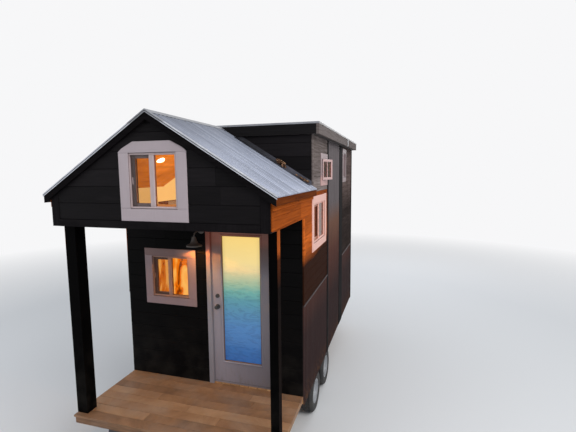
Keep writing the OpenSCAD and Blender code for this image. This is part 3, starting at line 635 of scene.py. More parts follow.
def black_boards(g, along="level"):
    """Colour, roughness and height of stained boards: worn in patches, darkened as painted shade in the
    porch, dusty low down.
    """
    lines, pores = grain(g, along)
    stain = chosen("black_stain")
    base = g.stops(lines * 0.65 + g.board * 0.35, (0.25, times(stain, 0.55)), (0.5, stain),
                   (0.85, times(stain, 1.9)))
    worn = g.noise(g.stretched(0.7, 0.7, 3.2, 5.0), 1.6, 4.0).ramp(0.56, 0.78)
    base = g.mix(worn * 0.3, base, (0.028, 0.0245, 0.025))
    # painted shade: boards inside the porch, under its ceiling, are darkened by 82 %
    porch = g.y.within(0.002, PORCH + 0.002) * (g.z < LOFT + 0.002)
    base = g.shade(base, 1 - porch * 0.82)
    dust = g.z.ramp(1.7, 0.6) * g.noise(g.place, 5.0).ramp(0.4, 0.7)
    base = g.mix(dust * 0.2, base, (0.07, 0.06, 0.05))
    return base, lines * 0.22 + pores * 0.12 + 0.5, lines * 0.7 + pores * 0.3


def cedar_boards(g, along="level"):
    """Orange-brown cedar: painted shade right under the eave, brightest below it and towards the front,
    browner and darker low down and towards the rear, partly weathering and partly painted shade.
    """
    lines, pores = grain(g, along)
    cedar = chosen("cedar")
    base = g.stops(lines, (0.28, times(cedar, 0.42, 0.36, 0.38)), (0.47, times(cedar, 0.85)), (0.6, cedar),
                   (0.78, times(cedar, 1.35, 1.5, 1.6)))
    base = g.shade(base, g.board * 0.5 + 0.66)
    knots = g.cells(g.stretched(2.6, 2.6, 9.0, 13.0), 1.0).ramp(0.13, 0.03)
    base = g.mix(knots * 0.7, base, (0.07, 0.022, 0.01))
    # painted shade: darker in the eave's shade at the top of the cedar, full brightness 0.45 m below it
    base = g.shade(base, g.z.ramp(CEDAR_TOP + 0.02, CEDAR_TOP - 0.45) * 0.45 + 0.55)
    # partly weathering, partly painted shade: browner and darker low down and towards the rear
    age_and_shade = g.z.ramp(2.58, 2.36) * 1.2 + g.y.ramp(1.6, 2.8) * 0.35
    age_and_shade = age_and_shade * (g.noise(g.stretched(1.2, 1.2, 2.4), 1.5, 4.0) * 0.5 + 0.75)
    base = g.mix(age_and_shade * 0.97, base, g.mix(lines, (0.022, 0.0075, 0.004), (0.036, 0.0135, 0.008)))
    streak = g.noise(g.stretched(7, 7, 0.7), 1.4, 4.0).ramp(0.55, 0.8) * g.z.ramp(3.3, 2.9)
    base = g.mix(streak * 0.15, base, (0.07, 0.03, 0.015))
    return base, lines * 0.2 + pores * 0.1 + 0.45, lines * 0.6 + pores * 0.4


def grey_boards(g):
    """Weathered grey-brown boards, stained down the wall; at the rear of the side walls warmer and darker,
    most low down, as painted shade.
    """
    lines, pores = grain(g, "level")
    grey = chosen("weathered")
    base = g.stops(lines, (0.25, times(grey, 0.42, 0.4, 0.38)), (0.5, grey),
                   (0.75, times(grey, 1.5, 1.55, 1.6)))
    base = g.shade(base, g.board * 0.4 + 0.78)
    stain = g.noise(g.stretched(5, 5, 0.8), 1.2, 4.0).ramp(0.5, 0.75)
    base = g.mix(stain * 0.35, base, (0.085, 0.06, 0.045))
    # painted shade at the rear of the side walls: tinted warm and darkened, most below 2.8 m
    rear = g.y.ramp(3.75, 4.1) * (g.y < REAR - 0.002)
    base = g.mix(rear, base, g.tint(base, (0.6, 0.52, 0.5)))
    base = g.shade(base, 1 - rear * g.z.ramp(3.3, 2.8) * 0.7)
    return base, pores * 0.15 + 0.68, lines * 0.6 + pores * 0.4


FINISHES["black_siding"] = lambda g: lit_room(g, *black_boards(g), 0.0012)
FINISHES["cedar_siding"] = lambda g: lit_room(g, *cedar_boards(g), 0.0014, 0.005)
FINISHES["grey_siding"] = lambda g: lit_room(g, *grey_boards(g), 0.0016, 0.005)


@finishes("black_wood")
def black_wood_finish(g):
    """Black posts and corner boards; the outer faces of the porch posts show their brown wood, in painted
    warm light at the top and painted shade below.
    """
    base, rough, height = black_boards(g, "upright")
    # painted light and shade on the posts' brown: full brightness above 2.76 m, dimmed to 0.15 below 2.68 m
    brown = g.shade(cedar_boards(g, "upright")[0], g.z.ramp(2.68, 2.76) * 0.85 + 0.15)
    post = (g.across > HALF - 0.0016) * g.y.within(0.1, 0.3) * (g.z < LOFT)
    return g.surface(g.mix(post, base, brown), rough, height, 0.0012, Specular_IOR_Level=0.02)


@finishes("rafter_wood")
def rafter_finish(g):
    """Black bargeboard and soffit in front; side soffits and board ends along the eaves are cedar darkened as
    painted shade under the roof's edge; boards inside in the room's painted light.
    """
    black, rough, height = black_boards(g)
    cedar, _, _ = cedar_boards(g)
    # painted shade under the eaves: the side soffits get cedar at 0.4, the board ends at 0.58
    soffit = (g.across > HALF - 0.001) * (g.y > 0.0)
    eave = (g.across > EAVE_X - 0.0135) * (g.y > -0.03)
    base = g.mix(soffit * 0.8, black, g.shade(cedar, 0.4))
    return lit_room(g, g.mix(eave, base, g.shade(cedar, 0.58)), rough, height, 0.0012, 0.01)


@finishes("fascia_wood")
def fascia_finish(g):
    """Weathered edge boards of the flat roof; the one in front is black."""
    base, rough, height = grey_boards(g)
    front = (g.y < DORMER - 0.0385) * (g.across < FASCIA_X - 0.035)
    base = g.mix(front, g.mix(0.5, base, (0.11, 0.088, 0.082)), black_boards(g)[0])
    return g.surface(base, rough, height, 0.0012, Specular_IOR_Level=0.12)


@finishes("deck_wood")
def deck_finish(g):
    """Brown deck boards, paler in patches where they are trodden."""
    lines, pores = grain(g, "level")
    base = g.stops(lines * 0.75 + g.board * 0.25, (0.25, (0.1, 0.045, 0.02)), (0.5, (0.26, 0.13, 0.06)),
                   (0.75, (0.4, 0.23, 0.12)))
    tread = g.noise(g.place, 3.0, 5.0).ramp(0.45, 0.75)
    base = g.mix(tread * 0.4, base, (0.27, 0.21, 0.17))
    return g.surface(base, pores * 0.2 + 0.6, lines * 0.6 + pores * 0.4, 0.0015)


@finishes("floor_wood")
def floor_finish(g):
    """House floor and loft: level boards along y, in the room's painted warm light inside; the porch ceiling
    is their underside, darkened as painted shade.
    """
    lines = g.noise(g.stretched(30, 1.4, 30), 1.4, 5.0, 0.6, 0.5)
    boards = g.x * 8.0
    seam = boards.math("FRACT").within(0.025, 0.975)
    tone = g.noise(g.node("CombineXYZ", inputs=[boards.math("FLOOR"), 0.0, 0.0]), 3.1, 0.0)
    base = g.stops(lines * 0.6 + tone * 0.4, (0.3, (0.2, 0.09, 0.035)), (0.5, (0.42, 0.22, 0.09)),
                   (0.7, (0.58, 0.35, 0.17)))
    base = g.shade(base, seam * 0.7 + 0.3)
    inside = indoors(g)
    # painted shade: the porch ceiling, the loft floor's underside, at 0.28
    ceiling = (1 - inside) * (g.z < LOFT + 0.02) * (g.z > 2.0)
    base = g.mix(ceiling, base, g.shade(base, 0.28))
    return g.surface(base, lines * 0.25 + 0.4, seam * 0.8 + lines * 0.2, 0.002, Emission_Strength=1.0,
                     Emission_Color=glowing(g, base, inside * 0.5))


def metal_surface(g, colour, streak_axes, rust, rough, metallic, gloss, low=None, tone=1.0, tint=None):
    """Galvanised sheet: crystal flakes, streaks down it, dull patches, and rust in spots and low down."""
    flake = g.node("SeparateColor", inputs=[g.cells(g.place, 90.0, "Color")])
    streaks = g.noise(g.stretched(*streak_axes), 1.6, 5.0, 0.6)
    blotch = g.noise(g.place, 2.1, 5.0, 0.6)
    base = g.stops(streaks * 0.6 + blotch * 0.4, (0.3, times(colour, 0.78)), (0.5, colour),
                   (0.72, times(colour, 1.18, 1.17, 1.14)))
    base = g.shade(base, (flake * 0.1 + 0.95) * tone)
    if tint:
        base = g.tint(base, tint)
    spots = g.noise(g.stretched(*[v * 1.7 for v in streak_axes]), 3.3, 6.0, 0.7).ramp(0.64, 0.8)
    if low:
        spots = spots.math("MAXIMUM", low * g.noise(g.place, 14.0, 5.0).ramp(0.45, 0.65))
    base = g.mix(spots * rust, base, (0.2, 0.095, 0.045))
    return g.surface(base, blotch * 0.2 + flake * 0.08 + spots * 0.2 + (rough - 0.1),
                     flake * 0.3 + blotch * 0.7, 0.0006, Metallic=metallic * (1 - spots * 0.7),
                     Specular_IOR_Level=gloss)


@finishes("roof_metal")
def roof_finish(g):
    """Sheets with painted shade: dark lines at the feet of the ribs, bands of painted light and shade along
    the ribs, and darker towards the ridge.
    """
    count = math.floor((DORMER + OVERHANG) / RIB_PITCH)
    rib = ((g.y + OVERHANG) * (count / (DORMER + OVERHANG))).math("FRACT")
    # painted shade: a quarter darker at each rib's foot, random bands of painted light and shade along the
    # ribs, darker towards the ridge
    foot = rib.within(0.06, 0.17).math("MAXIMUM", rib.within(0.83, 0.94))
    band = g.noise(g.node("CombineXYZ", inputs=[0.0, g.y * 13.0, g.across * 0.25]), 1.0, 1.0, 0.4)
    tone = (1 - foot * 0.25) * (band.ramp(0.32, 0.66) * 0.36 + 0.78) * (g.across.ramp(0.0, 0.7) * 0.4 + 0.6)
    return metal_surface(g, chosen("roof_metal"), (0.9, 7.0, 0.9), 0.22, 0.42, 0.4, 0.2,
                         g.across.ramp(EAVE_X - 0.07, EAVE_X) * 0.5, tone)


@finishes("edge_metal")
def edge_finish(g):
    """Folded light strips; a painted shadow darkens the groove in the fold of the gable strip, and painted
    shade darkens the flashing along the raised front, most towards the middle.
    """
    streaks = g.noise(g.stretched(3, 3, 3), 2.0, 5.0)
    base = g.stops(streaks, (0.3, (0.4, 0.41, 0.45)), (0.55, (0.54, 0.55, 0.6)), (0.75, (0.64, 0.65, 0.69)))
    base = g.mix(g.z > FLAT, base, g.shade(base, 0.5))
    # painted shade on the flashing by the raised front: dark grey-blue, darkest towards the middle of the
    # roof
    dull = g.mix(streaks.ramp(0.35, 0.65), (0.055, 0.055, 0.072), (0.12, 0.12, 0.15))
    dull = g.shade(dull, g.across.ramp(0.55, 0.95) * 0.65 + 0.35)
    base = g.mix((g.y > DORMER - 0.14) * (g.z < FLAT), base, dull)
    drop = g.z - (RIDGE - g.across * SLOPE)
    # painted shadow in the groove of the gable strip's fold
    gap = drop.within(-0.0172, -0.0083) * (g.y < -0.04)
    base = g.mix(gap * 0.93, base, (0.03, 0.03, 0.034))
    side = (g.across > FASCIA_X + NEAR) * (g.z > FLAT)
    base = g.mix(side * 0.9, base, (0.09, 0.078, 0.072))
    dirt = g.noise(g.place, 9.0, 5.0).ramp(0.58, 0.75)
    base = g.mix(dirt * 0.25, base, (0.22, 0.17, 0.13))
    return g.surface(base, streaks * 0.2 + 0.32, streaks, 0.0008, Metallic=0.35 * (1 - gap))


@finishes("wall_metal")
def wall_metal_finish(g):
    """Dark sheets on the walls, warmer in the middle as a painted reflection of warm lamplight, and darker
    and browner low down, partly rust and partly painted shade.
    """
    # painted light and shade: a warm lamplight reflection in the middle, darker and browner low down, partly
    # rust
    tint = g.stops(g.z.ramp(1.5, 3.5), (0.0, (0.26, 0.17, 0.16)), (0.36, (0.7, 0.33, 0.24)),
                   (0.6, (1.15, 0.68, 0.45)), (0.76, (1.0, 1.0, 1.0)))
    return metal_surface(g, (0.128, 0.11, 0.114), (8.0, 8.0, 0.8), 0.4, 0.5, 0.15, 0.02,
                         g.z.ramp(0.95, 0.62), tint=tint)


FINISHES["cap_metal"] = lambda g: metal_surface(
    g, (0.062, 0.044, 0.042), (1.0, 1.0, 9.0), 0.3, 0.42, 0.2, 0.05)


@finishes("flat_roofing")
def membrane_finish(g):
    """Grey membrane in lapped strips, with dry puddle rings and a sandy grain; wood on its underside, in the
    room's painted warm light indoors.
    """
    sand = g.noise(g.place, 260.0, 3.0)
    patch = g.noise(g.place, 1.4, 6.0, 0.6)
    puddle = g.noise(g.place, 0.9, 2.0)
    rings = puddle.ramp(0.48, 0.53) * (1 - puddle.ramp(0.53, 0.58))
    lap = (g.y * 1.05).math("FRACT").within(0.0, 0.012)
    base = g.stops(patch, (0.3, (0.16, 0.16, 0.165)), (0.5, (0.24, 0.24, 0.245)), (0.7, (0.33, 0.32, 0.31)))
    base = g.mix(rings * 0.35, base, (0.42, 0.38, 0.33))
    base = g.mix(lap * 0.6, base, (0.08, 0.08, 0.08))
    under = g.z < FLAT + 0.002
    wood = g.noise(g.stretched(30, 1.5, 30), 1.4)
    wood = g.stops(wood, (0.3, (0.42, 0.17, 0.045)), (0.7, (0.7, 0.36, 0.12)))
    seam = (g.x * 8.0).math("FRACT").within(0.03, 0.97)
    wood = g.shade(wood, seam * 0.4 + 0.6)
    room = under * indoors(g)
    soffit = g.noise(g.stretched(1.5, 30, 30), 1.4)
    soffit = g.stops(soffit, (0.3, (0.02, 0.016, 0.015)), (0.7, (0.05, 0.04, 0.036)))
    base = g.mix(under, base, g.mix(room, soffit, wood))
    return g.surface(base, 0.88 - patch * 0.1, sand * 0.4 + lap * 0.6 * (1 - under), 0.0015,
                     Emission_Strength=1.0, Emission_Color=glowing(g, wood, room * 0.7))


def painted(g, colour, dirt=0.12):
    """Colour, strokes and grime of brushed paint, with yellowed patches and hairline wear."""
    strokes = g.noise(g.stretched(22, 22, 1.5, 19.0), 2.4, 4.0)
    patch = g.noise(g.stretched(1, 1, 1, 3.0), 3.0, 4.0)
    base = g.stops(strokes * 0.35 + patch * 0.65, (0.3, times(colour, 0.92, 0.91, 0.9)), (0.5, colour),
                   (0.75, times(colour, 1.06)))
    grime = g.noise(g.stretched(6, 6, 1.6), 2.4, 6.0, 0.65).ramp(0.6, 0.76)
    base = g.mix(grime * dirt, base, (0.3, 0.25, 0.21))
    chips = g.noise(g.place, 46.0, 5.0, 0.7).ramp(0.71, 0.76)
    return g.mix(chips * 0.5, base, (0.24, 0.2, 0.17)), strokes, grime


def porch_light_and_shade(g, base, low, high):
    """Paints the porch's light and shade onto paint: one colour below, a warm brown one under the ceiling for
    the lamp's light and the ceiling's shade, and dimmer to the right as painted shade.
    """
    tint = g.mix(g.z.ramp(2.25, 2.62), low, high)
    return g.tint(base, g.shade(tint, 1 - g.x.ramp(0.15, 0.78) * 0.55))


@finishes("white_trim")
def white_trim_finish(g):
    """White paint in painted light and shade: dim and cool on the front, warm and dark under the porch
    ceiling, warm and bright on the lower side windows, dimmer higher up and at the rear.
    """
    base, strokes, grime = painted(g, chosen("white_paint"))
    base = g.shade(base, g.board * 0.08 + 0.95)
    # painted light and shade in the porch: the porch lamp's warm light and the ceiling's shade
    porch = g.y.within(PORCH - 0.05, PORCH_BACK + 0.03) * (g.z < LOFT)
    door = porch_light_and_shade(g, base, (0.44, 0.53, 0.6), (0.52, 0.185, 0.115))
    # painted lamplight and shade on the lower window's boards: warm brown at the head, brighter towards the
    # lamp on the right
    head = g.mix(g.x.ramp(-0.5, -0.28), (0.27, 0.2, 0.19), (0.62, 0.45, 0.36))
    window = g.tint(base, g.mix(g.z > 2.43, (0.4, 0.36, 0.385), head))
    # painted shade: the front's boards outside the porch are dimmed and cooled
    front = g.mix(porch, g.tint(base, (0.65, 0.71, 0.77)), g.mix(g.x < -0.12, door, window))
    # painted warm light on the side windows' boards, and painted shade on their faces set back in the wall
    low = g.mix(g.across < HALF - 0.006, (1.28, 0.93, 0.78), (0.62, 0.35, 0.22))
    # painted light and shade on the high side windows: warm below 3.4 m, dimmer above, dimmer still at the
    # rear, the swung sash's outer face lit
    boards = g.mix(g.z.ramp(3.4, 3.48), (0.8, 0.58, 0.54), (0.43, 0.39, 0.41))
    boards = g.mix(g.y > BLACK_0, boards, (0.36, 0.33, 0.345))
    high = g.mix(g.across > HALF + 0.031, boards, (0.98, 0.84, 0.82))
    beside = g.tint(base, g.mix(g.z > CEDAR_TOP, low, high))
    return g.surface(g.mix(g.across > HALF - 0.062, front, beside), strokes * 0.15 + grime * 0.15 + 0.4,
                     strokes, 0.0007)


@finishes("door_paint")
def door_paint_finish(g):
    """Off-white paint in the porch's painted light and shade, warm at the door's head, handled by the lock
    and kicked below.
    """
    base, strokes, grime = painted(g, (0.5, 0.435, 0.45), dirt=0.1)
    base = porch_light_and_shade(g, base, (0.66, 0.62, 0.65), (0.72, 0.26, 0.16))
    # painted shade on the leaf below its head: dimmest from 2.4 to 2.58 m, milder lower down
    lit = g.mix(g.z.ramp(2.2, 2.4), (0.87, 0.95, 1.0), (0.53, 0.66, 0.72))
    base = g.mix(g.z.ramp(2.66, 2.58), base, g.tint(base, lit))
    hands = g.noise(g.place, 7.0, 4.0).ramp(0.4, 0.7)
    hands = hands * (g.z - (FLOOR + 1.1)).math("ABSOLUTE").ramp(0.35, 0.05)
    base = g.mix(hands * 0.18, base, (0.26, 0.2, 0.16))
    kicked = g.z.ramp(FLOOR + 0.28, FLOOR + 0.03) * g.noise(g.stretched(9, 9, 4), 2.5, 5.0).ramp(0.5, 0.7)
    base = g.mix(kicked * 0.5, base, (0.16, 0.13, 0.11))
    return g.surface(base, strokes * 0.12 + 0.36, strokes, 0.0005)


@finishes("vinyl")
def vinyl_finish(g):
    """Dull white vinyl in painted light and shade: warm and darker in the porch, darker on the sashes that
    stand back, most on the upper window's left stile, and warm indoor light on the parts set furthest back.
    """
    soft = g.noise(g.place, 12.0, 4.0)
    dust = g.noise(g.stretched(2, 2, 1), 6.0, 5.0).ramp(0.5, 0.8)
    base = g.mix(soft * 0.5, (0.49, 0.385, 0.385), (0.43, 0.34, 0.34))
    base = g.mix(dust * 0.2, base, (0.32, 0.25, 0.22))
    # painted warm light and shade on the porch's window
    porch = (g.y > PORCH - 0.05) * (g.z < LOFT)
    base = g.mix(porch, base, g.tint(base, (0.66, 0.46, 0.34)))
    depth = g.y - porch * float(PORCH)
    # painted shade on the set-back sashes, deepest on the upper window's left stile, and painted warm indoor
    # light on parts more than 17 mm back
    stile = (g.x < -0.17) * (g.z > LOFT)
    recess_shade = g.mix(stile, (0.48, 0.44, 0.44), (0.28, 0.25, 0.245))
    recess_shade = g.mix(depth.ramp(0.0168, 0.0176), recess_shade, (0.8, 0.46, 0.26))
    base = g.mix(depth.ramp(0.0105, 0.0145), base, g.tint(base, recess_shade))
    return g.surface(base, soft * 0.12 + 0.32, soft, 0.0003)


@finishes("window_glass")
def window_glass_finish(g):
    """Clear panes with faint smears and dust; those of the side walls are brown."""
    smear = g.noise(g.stretched(3, 3, 1.2), 3.0, 4.0)
    clear = g.mix(smear * 0.4, (0.98, 0.96, 0.93), (0.9, 0.87, 0.83))
    side = g.across > HALF - 0.06
    return g.surface(g.mix(side, clear, (0.4, 0.19, 0.08)), smear * 0.03 + 0.002, Transmission_Weight=1.0,
                     IOR=1.2)


@finishes("door_glass")
def door_glass_finish(g):
    """Rippled glass lit from inside, yellow above, pale green and teal below, and blue at the foot."""
    ripple = g.noise(g.stretched(4.5, 4.5, 15.0), 1.6, 4.0, 0.6, 1.2)
    crease = g.noise(g.stretched(3.2, 3.2, 11.0), 1.1, 2.0, 0.5, 2.4)
    low, high = DOOR_GLASS[0][2], DOOR_GLASS[1][2]
    level = (g.z - float(low)) / float(high - low) + (ripple - 0.5) * 0.1 * g.z.ramp(high - 0.2, high - 0.9)
    colour = g.stops(level, (0.0, (0.02, 0.1, 0.31)), (0.28, (0.045, 0.17, 0.4)), (0.39, (0.055, 0.2, 0.36)),
                     (0.5, (0.07, 0.26, 0.32)), (0.565, (0.12, 0.35, 0.31)), (0.62, (0.27, 0.43, 0.29)),
                     (0.68, (0.48, 0.51, 0.29)), (0.735, (0.76, 0.61, 0.29)), (0.8, (0.89, 0.68, 0.26)),
                     (1.0, (0.99, 0.68, 0.17)))
    folds = crease.ramp(0.5, 0.62) * (1 - crease.ramp(0.62, 0.7))
    colour = g.shade(colour, 1 - folds * 0.2 * g.z.ramp(high - 0.3, high - 0.8))
    edge = (g.x - float((DOOR_GLASS[0][0] + DOOR_GLASS[1][0]) / 2)).math("ABSOLUTE")
    colour = g.shade(colour, 1 - edge.ramp(0.19, 0.255) * 0.12)
    return g.surface(g.shade(colour, 0.35), ripple * 0.1 + 0.12, ripple * 0.6 + crease * 0.4, 0.006,
                     Emission_Color=colour, Emission_Strength=0.8, Coat_Weight=0.6, Coat_Roughness=0.08)


def steel_paint(g, colour, rust, rough=0.42, metallic=0.0):
    """Sprayed steel: orange peel, scratches and rust blooms."""
    peel = g.noise(g.place, 180.0, 2.0)
    patch = g.noise(g.place, 4.0, 6.0, 0.65)
    base = g.stops(patch, (0.3, times(colour, 0.7)), (0.6, colour), (0.8, times(colour, 1.35)))
    bloom = g.noise(g.place, 11.0, 7.0, 0.72).ramp(0.6, 0.72)
    base = g.mix(bloom * rust, base, (0.17, 0.065, 0.025))
    scratch = g.noise(g.stretched(3, 40, 40), 2.2, 3.0).ramp(0.7, 0.74)
    base = g.mix(scratch * 0.25, base, (0.35, 0.34, 0.33))
    return g.surface(base, patch * 0.2 + bloom * 0.25 + rough - 0.1, peel * 0.25 + bloom * 0.75, 0.0008,
                     Metallic=metallic)


FINISHES["frame_steel"] = lambda g: steel_paint(g, (0.028, 0.028, 0.03), 0.45)
FINISHES["rim"] = lambda g: steel_paint(g, (0.5, 0.51, 0.53), 0.3, 0.38, 0.6)
FINISHES["hinge_steel"] = lambda g: steel_paint(g, (0.45, 0.45, 0.45), 0.12, 0.4, 0.8)


@finishes("black_hardware")
def hardware_finish(g):
    """Black paint; the lining of the lamp's shade, which has board number 2, is enamel in warm light."""
    inside = g.board > 1.5
    shade = g.board.within(1.0, 1.5)
    patch = g.noise(g.place, 30.0, 5.0)
    base = g.stops(patch, (0.3, (0.018, 0.018, 0.02)), (0.6, (0.03, 0.03, 0.033)),
                   (0.8, (0.06, 0.057, 0.056)))
    base = g.mix(shade * 0.9, base, g.mix(patch, (0.055, 0.04, 0.034), (0.12, 0.095, 0.082)))
    base = g.mix(inside, base, (0.82, 0.76, 0.64))
    warm = g.shade(g.mix(inside, (0.0, 0.0, 0.0), (1.0, 0.66, 0.3)), inside * 0.9)
    return g.surface(base, patch * 0.2 + 0.32, patch, 0.0006, Emission_Color=warm, Emission_Strength=1.0)


@finishes("gasket")
def gasket_finish(g):
    """Brown putty round the door's glass, warm from the light behind it."""
    fine = g.noise(g.place, 70.0, 4.0)
    base = g.mix(fine, (0.075, 0.032, 0.008), (0.13, 0.06, 0.014))
    return g.surface(base, fine * 0.2 + 0.5, fine, 0.0005, Emission_Color=g.shade(base, g.z.ramp(2.0, 2.5)),
                     Emission_Strength=0.6)


@finishes("tyre")
def tyre_finish(g):
    """Black rubber with patches of dust."""
    fine = g.noise(g.place, 120.0, 4.0)
    dust = g.noise(g.place, 6.0, 5.0)
    base = g.mix(dust.ramp(0.4, 0.8) * 0.6, (0.018, 0.018, 0.019), (0.085, 0.075, 0.066))
    return g.surface(base, fine * 0.15 + 0.72, fine, 0.0006)


@finishes("bulb")
def bulb_finish(g):
    """Frosted glass of a burning lamp: white in the middle, warmer to its edge."""
    edge = g.node("LayerWeight", inputs={"Blend": 0.5}, out="Facing")
    colour = g.mix(edge, (1.0, 0.87, 0.62), (1.0, 0.62, 0.26))
    return g.surface((0.9, 0.8, 0.6), 0.3, Emission_Color=colour, Emission_Strength=5.0)


@finishes("dry_leaf")
def dry_leaf_finish(g):
    """Leaves of a brown each, with veins."""
    vein = g.noise(g.place, 90.0, 4.0)
    base = g.stops(g.board * 0.7 + vein * 0.3, (0.1, (0.09, 0.045, 0.025)), (0.45, (0.24, 0.12, 0.06)),
                   (0.75, (0.36, 0.2, 0.11)), (0.95, (0.3, 0.24, 0.14)))
    return g.surface(base, 0.8, vein, 0.001)


@finishes("screen_mesh")
def screen_finish(g):
    """Insect mesh: a grid of threads too fine to see one by one."""
    threads = g.noise(g.place, 900.0, 1.0)
    return g.surface((0.05, 0.03, 0.02), 0.7, Specular_IOR_Level=0.1, Alpha=threads * 0.16 + 0.1)


# Operators, one for each group of like pieces
class Dressing:
    """What the operators share: each makes its pieces from the sizes that the user has set."""

    bl_options = {"REGISTER"}

    def execute(self, context):
        self.make(sizes())
        return {"FINISHED"}


class TINYHOUSE_OT_solids(Dressing, bpy.types.Operator):
    """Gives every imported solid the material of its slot"""

    bl_idname = "tinyhouse.solids"
    bl_label = "Finish the solids"

    def make(self, size):
        for part in frame["record"]["subparts"]:
            solid = frame["nodes"][part["node"]]
            solid.data.materials.clear()
            solid.data.materials.append(finish(part["material_slot"]))


def hole(boards, side):
    """The opening inside boards of one width, as s0, s1, z0, z1."""
    return boards[0] + side, boards[1] - side, boards[2] + side, boards[3] - side


def flat_rect(box, axis=0):
    """A span() box as s0, s1, z0, z1 along x or y."""
    return box[0][axis], box[1][axis], box[0][2], box[1][2]


SIDE_RECT, HIGH_FRONT_RECT, HIGH_REAR_RECT = (
    flat_rect(box, 1) for box in (SIDE_BOARDS, HIGH_FRONT_BOARDS, HIGH_REAR_BOARDS))
UPPER_RECT, LOWER_RECT, REAR_HIGH_RECT, REAR_LOW_RECT, UPPER_HOLE, LOWER_HOLE = (
    flat_rect(box) for box in (UPPER_BOARDS, LOWER_BOARDS, REAR_HIGH_BOARDS, REAR_LOW_BOARDS, UPPER, LOWER))
REAR_REACH = (LOWER_HOLE[1] - LOWER_HOLE[0]) / 2
REAR_HOLE = (-REAR_REACH, REAR_REACH, *LOWER_HOLE[2:])


class TINYHOUSE_OT_front_boards(Dressing, bpy.types.Operator):
    """Black level boards of the gable, the porch wall and the raised front, with their corner boards"""

    bl_idname = "tinyhouse.front_boards"
    bl_label = "Black boards"

    def make(self, size):
        corner, skirt, t = 0.095, 0.075, size.board_thickness
        under = RIDGE - UNDER
        kink = under - SLOPE * (HALF - corner)
        gable, porch, raised, edges = Shape(3), Shape(4), Shape(5), Shape(6)
        wall = front_wall(0)

        def slopes(z):
            reach = min(HALF - corner, (under - z) / SLOPE)
            return -reach, reach

        siding(gable, wall, (LOFT + skirt, under - 0.03), slopes, size.board_pitch, [UPPER_HOLE], [kink],
               (0.5, 1.0))
        around = 0.03
        doorway = (DOOR_FRAME[0][0] - around, DOOR_FRAME[1][0] + around, 0, DOOR_FRAME[1][2] + around)
        siding(porch, front_wall(PORCH), (PORCH_FLOOR, LOFT - 0.002), lambda z: (-HALF, HALF),
               size.board_pitch, [LOWER_HOLE, doorway], (), (-0.9, -0.3))
        foot = RIDGE + 0.012
        for side in (-1, 1):
            def beside(z, side=side):
                inner = min(max((foot - z) / SLOPE, -HALF), HALF)
                return (inner, HALF) if side > 0 else (-HALF, -inner)

            siding(raised, front_wall(DORMER), (foot - SLOPE * HALF + 0.005, FLAT - 0.001), beside,
                   size.board_pitch)
        gable.build("gable_boards", "black_siding")
        porch.build("porch_wall_boards", "black_siding")
        raised.build("raised_front_boards", "black_siding")
        for side in (-1, 1):
            s = sorted((side * HALF, side * (HALF - corner)))
            tops = [under - SLOPE * abs(v) for v in s]
            plate(edges, [(s[0], LOFT), (s[1], LOFT), (s[1], tops[1]), (s[0], tops[0])], wall, 0, t + 0.005)
        wall_board(edges, wall, (corner - HALF + 0.001, HALF - corner - 0.001), (LOFT, LOFT + skirt),
                   (0, t + 0.01))
        edges.build("gable_corner_boards", "black_wood")


class TINYHOUSE_OT_side_boards(Dressing, bpy.types.Operator):
    """Cedar boards under the eaves, weathered boards above and behind, and the rear wall's boards"""

    bl_idname = "tinyhouse.side_boards"
    bl_label = "Cedar and weathered boards"

    def make(self, size):
        cedar, grey, trim, black = Shape(11), Shape(12), Shape(13), Shape(14)
        t = size.board_thickness
        corner_t, edge, corner = t + 0.005, 0.055, HALF - REAR_CORNER
        for side in (1, -1):
            wall = side_wall(side, HALF)
            siding(cedar, wall, (CAP_HIGH, CEDAR_TOP),
                   lambda z: (0.0 if z > LOFT else PORCH + edge, BOARD_0),
                   size.cedar_pitch, [hole(SIDE_RECT, TRIM)], [LOFT], (0.9, 1.5))
            siding(grey, wall, (CEDAR_TOP, FLAT), lambda z: (DORMER + edge, BOARD_0), size.board_pitch,
                   [hole(HIGH_FRONT_RECT, HIGH_TRIM)])
            siding(grey, wall, (CAP_HIGH, FLAT), lambda z: (BLACK_1, CORNER_0), size.board_pitch,
                   [hole(HIGH_REAR_RECT, HIGH_TRIM)])
            wall_board(trim, wall, (PORCH, PORCH + edge), (CAP_HIGH, LOFT - 0.001), (0, corner_t))
            wall_board(trim, wall, (0.0, DORMER - 0.002), (CEDAR_TOP - 0.085, CEDAR_TOP + 0.01),
                       (t, t + 0.014))
            wall_board(grey, wall, (DORMER, DORMER + edge), (CEDAR_TOP, FLAT), (0, corner_t))
        wall = rear_wall(REAR)
        siding(grey, wall, (SKIRT, FLAT), lambda z: (-corner, corner), size.board_pitch,
               [hole(REAR_HIGH_RECT, TRIM), REAR_HOLE], (), (-0.6, 0.6))
        for s in ((-HALF, -corner), (corner, HALF)):
            wall_board(black, wall, s, (SKIRT, FLAT), (0, corner_t))
        cedar.build("cedar_boards", "cedar_siding")
        trim.build("cedar_edge_boards", "cedar_siding")
        grey.build("weathered_boards", "grey_siding")
        black.build("rear_corner_boards", "black_wood")


# The slider's parts: face of the outer frame, the same along the track, middle bar, its way left, and rail
LIP, TRACK, BAR, BAR_OFF, RAIL = 0.020, 0.006, 0.048, 0.015, 0.034


